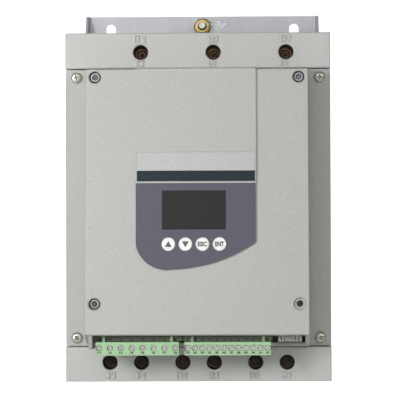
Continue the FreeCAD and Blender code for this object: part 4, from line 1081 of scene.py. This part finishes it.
def stage():
    """Pale floor that sweeps up into a plain backdrop."""
    profile = [(-3.0, 0.0), (BEND_START, 0.0)]
    for i in range(1, BEND_STEPS + 1):
        angle = math.radians(90 * i / BEND_STEPS)
        profile.append((BEND_START + BEND_RADIUS * math.sin(angle), BEND_RADIUS * (1 - math.cos(angle))))
    profile.append((BEND_START + BEND_RADIUS, 4.0))
    bm = bmesh.new()
    rows = [[bm.verts.new((x, y, z + FLOOR_Z)) for x in (-5.0, 5.0)] for y, z in profile]
    for low, high in zip(rows, rows[1:]):
        bm.faces.new((low[0], low[1], high[1], high[0]))
    mesh = bpy.data.meshes.new("floor")
    bm.to_mesh(mesh)
    bm.free()
    for polygon in mesh.polygons:
        polygon.use_smooth = True
    look = Look("floor_look", (0.86, 0.86, 0.86, 1.0), 0.8, mottle=0.004, mottle_size=300.0, spread=0.05,
                Emission_Color=(1.0, 1.0, 1.0, 1.0))
    split = look.node("ShaderNodeSeparateXYZ", Vector=look.position)
    rise = look.spread(split.outputs["Z"], 0.0, 0.95, start=FLOOR_Z + 0.01, end=FLOOR_Z + 0.28)
    middle = look.spread(look.math("ABSOLUTE", split.outputs["X"], 0.0), 1.0, 0.1, start=0.7, end=1.6)
    glow = look.math("ADD", look.math("MULTIPLY", rise, middle), 0.1)
    look.tree.links.new(glow, look.shader.inputs["Emission Strength"])
    mesh.materials.append(look.material)
    linked("floor", mesh)


def area_light(name, location, target, size, power):
    data = bpy.data.lights.new(name, "AREA")
    data.shape = "DISK"
    data.size = size
    data.energy = power
    light = linked(name, data)
    light.location = location
    light.rotation_euler = (Vector(target) - Vector(location)).to_track_quat("-Z", "Y").to_euler()


def lights():
    world = bpy.data.worlds.new("studio")
    world.use_nodes = True
    background = world.node_tree.nodes["Background"]
    background.inputs["Color"].default_value = (1.0, 1.0, 1.0, 1.0)
    background.inputs["Strength"].default_value = 0.06
    bpy.context.scene.world = world
    middle = Vector((0, -0.2, 0))
    for name, side, distance, size, power in (
            ("key_light", (-0.72, -1.0, 0.14), 0.85, 0.28, 4.75),
            ("front_fill", (-0.1, -1.0, 0.4), 3.0, 1.8, 20.0),
            ("lens_fill", (0.03, -1.0, -0.02), 1.5, 0.3, 1.75),
            ("right_fill", (0.8, -1.0, 0.5), 1.6, 0.6, 4.3),
            ("left_fill", (-2.2, -1.0, 0.3), 1.5, 0.6, 1.5)):
        area_light(name, middle + Vector(side).normalized() * distance, middle, size, power)


def camera():
    """The camera that was fitted to the photograph."""
    yaw, pitch, roll = (math.radians(angle) for angle in CAMERA_TURN)
    ahead = Vector((-math.sin(yaw) * math.cos(pitch), math.cos(yaw) * math.cos(pitch), math.sin(pitch)))
    right = Vector((math.cos(yaw), math.sin(yaw), 0))
    up = right.cross(ahead)
    turned_right = math.cos(roll) * right + math.sin(roll) * up
    turned_up = -math.sin(roll) * right + math.cos(roll) * up
    data = bpy.data.cameras.new("camera")
    data.sensor_width = 36.0
    data.lens = CAMERA_LENS
    data.clip_start = 0.01
    data.clip_end = 50.0
    view = linked("camera", data)
    matrix = Matrix((turned_right, turned_up, -ahead)).transposed().to_4x4()
    view.matrix_world = Matrix.Translation(CAMERA_PLACE) @ matrix
    bpy.context.scene.camera = view


stage()
lights()
camera()
bpy.context.scene.view_settings.view_transform = "Standard"
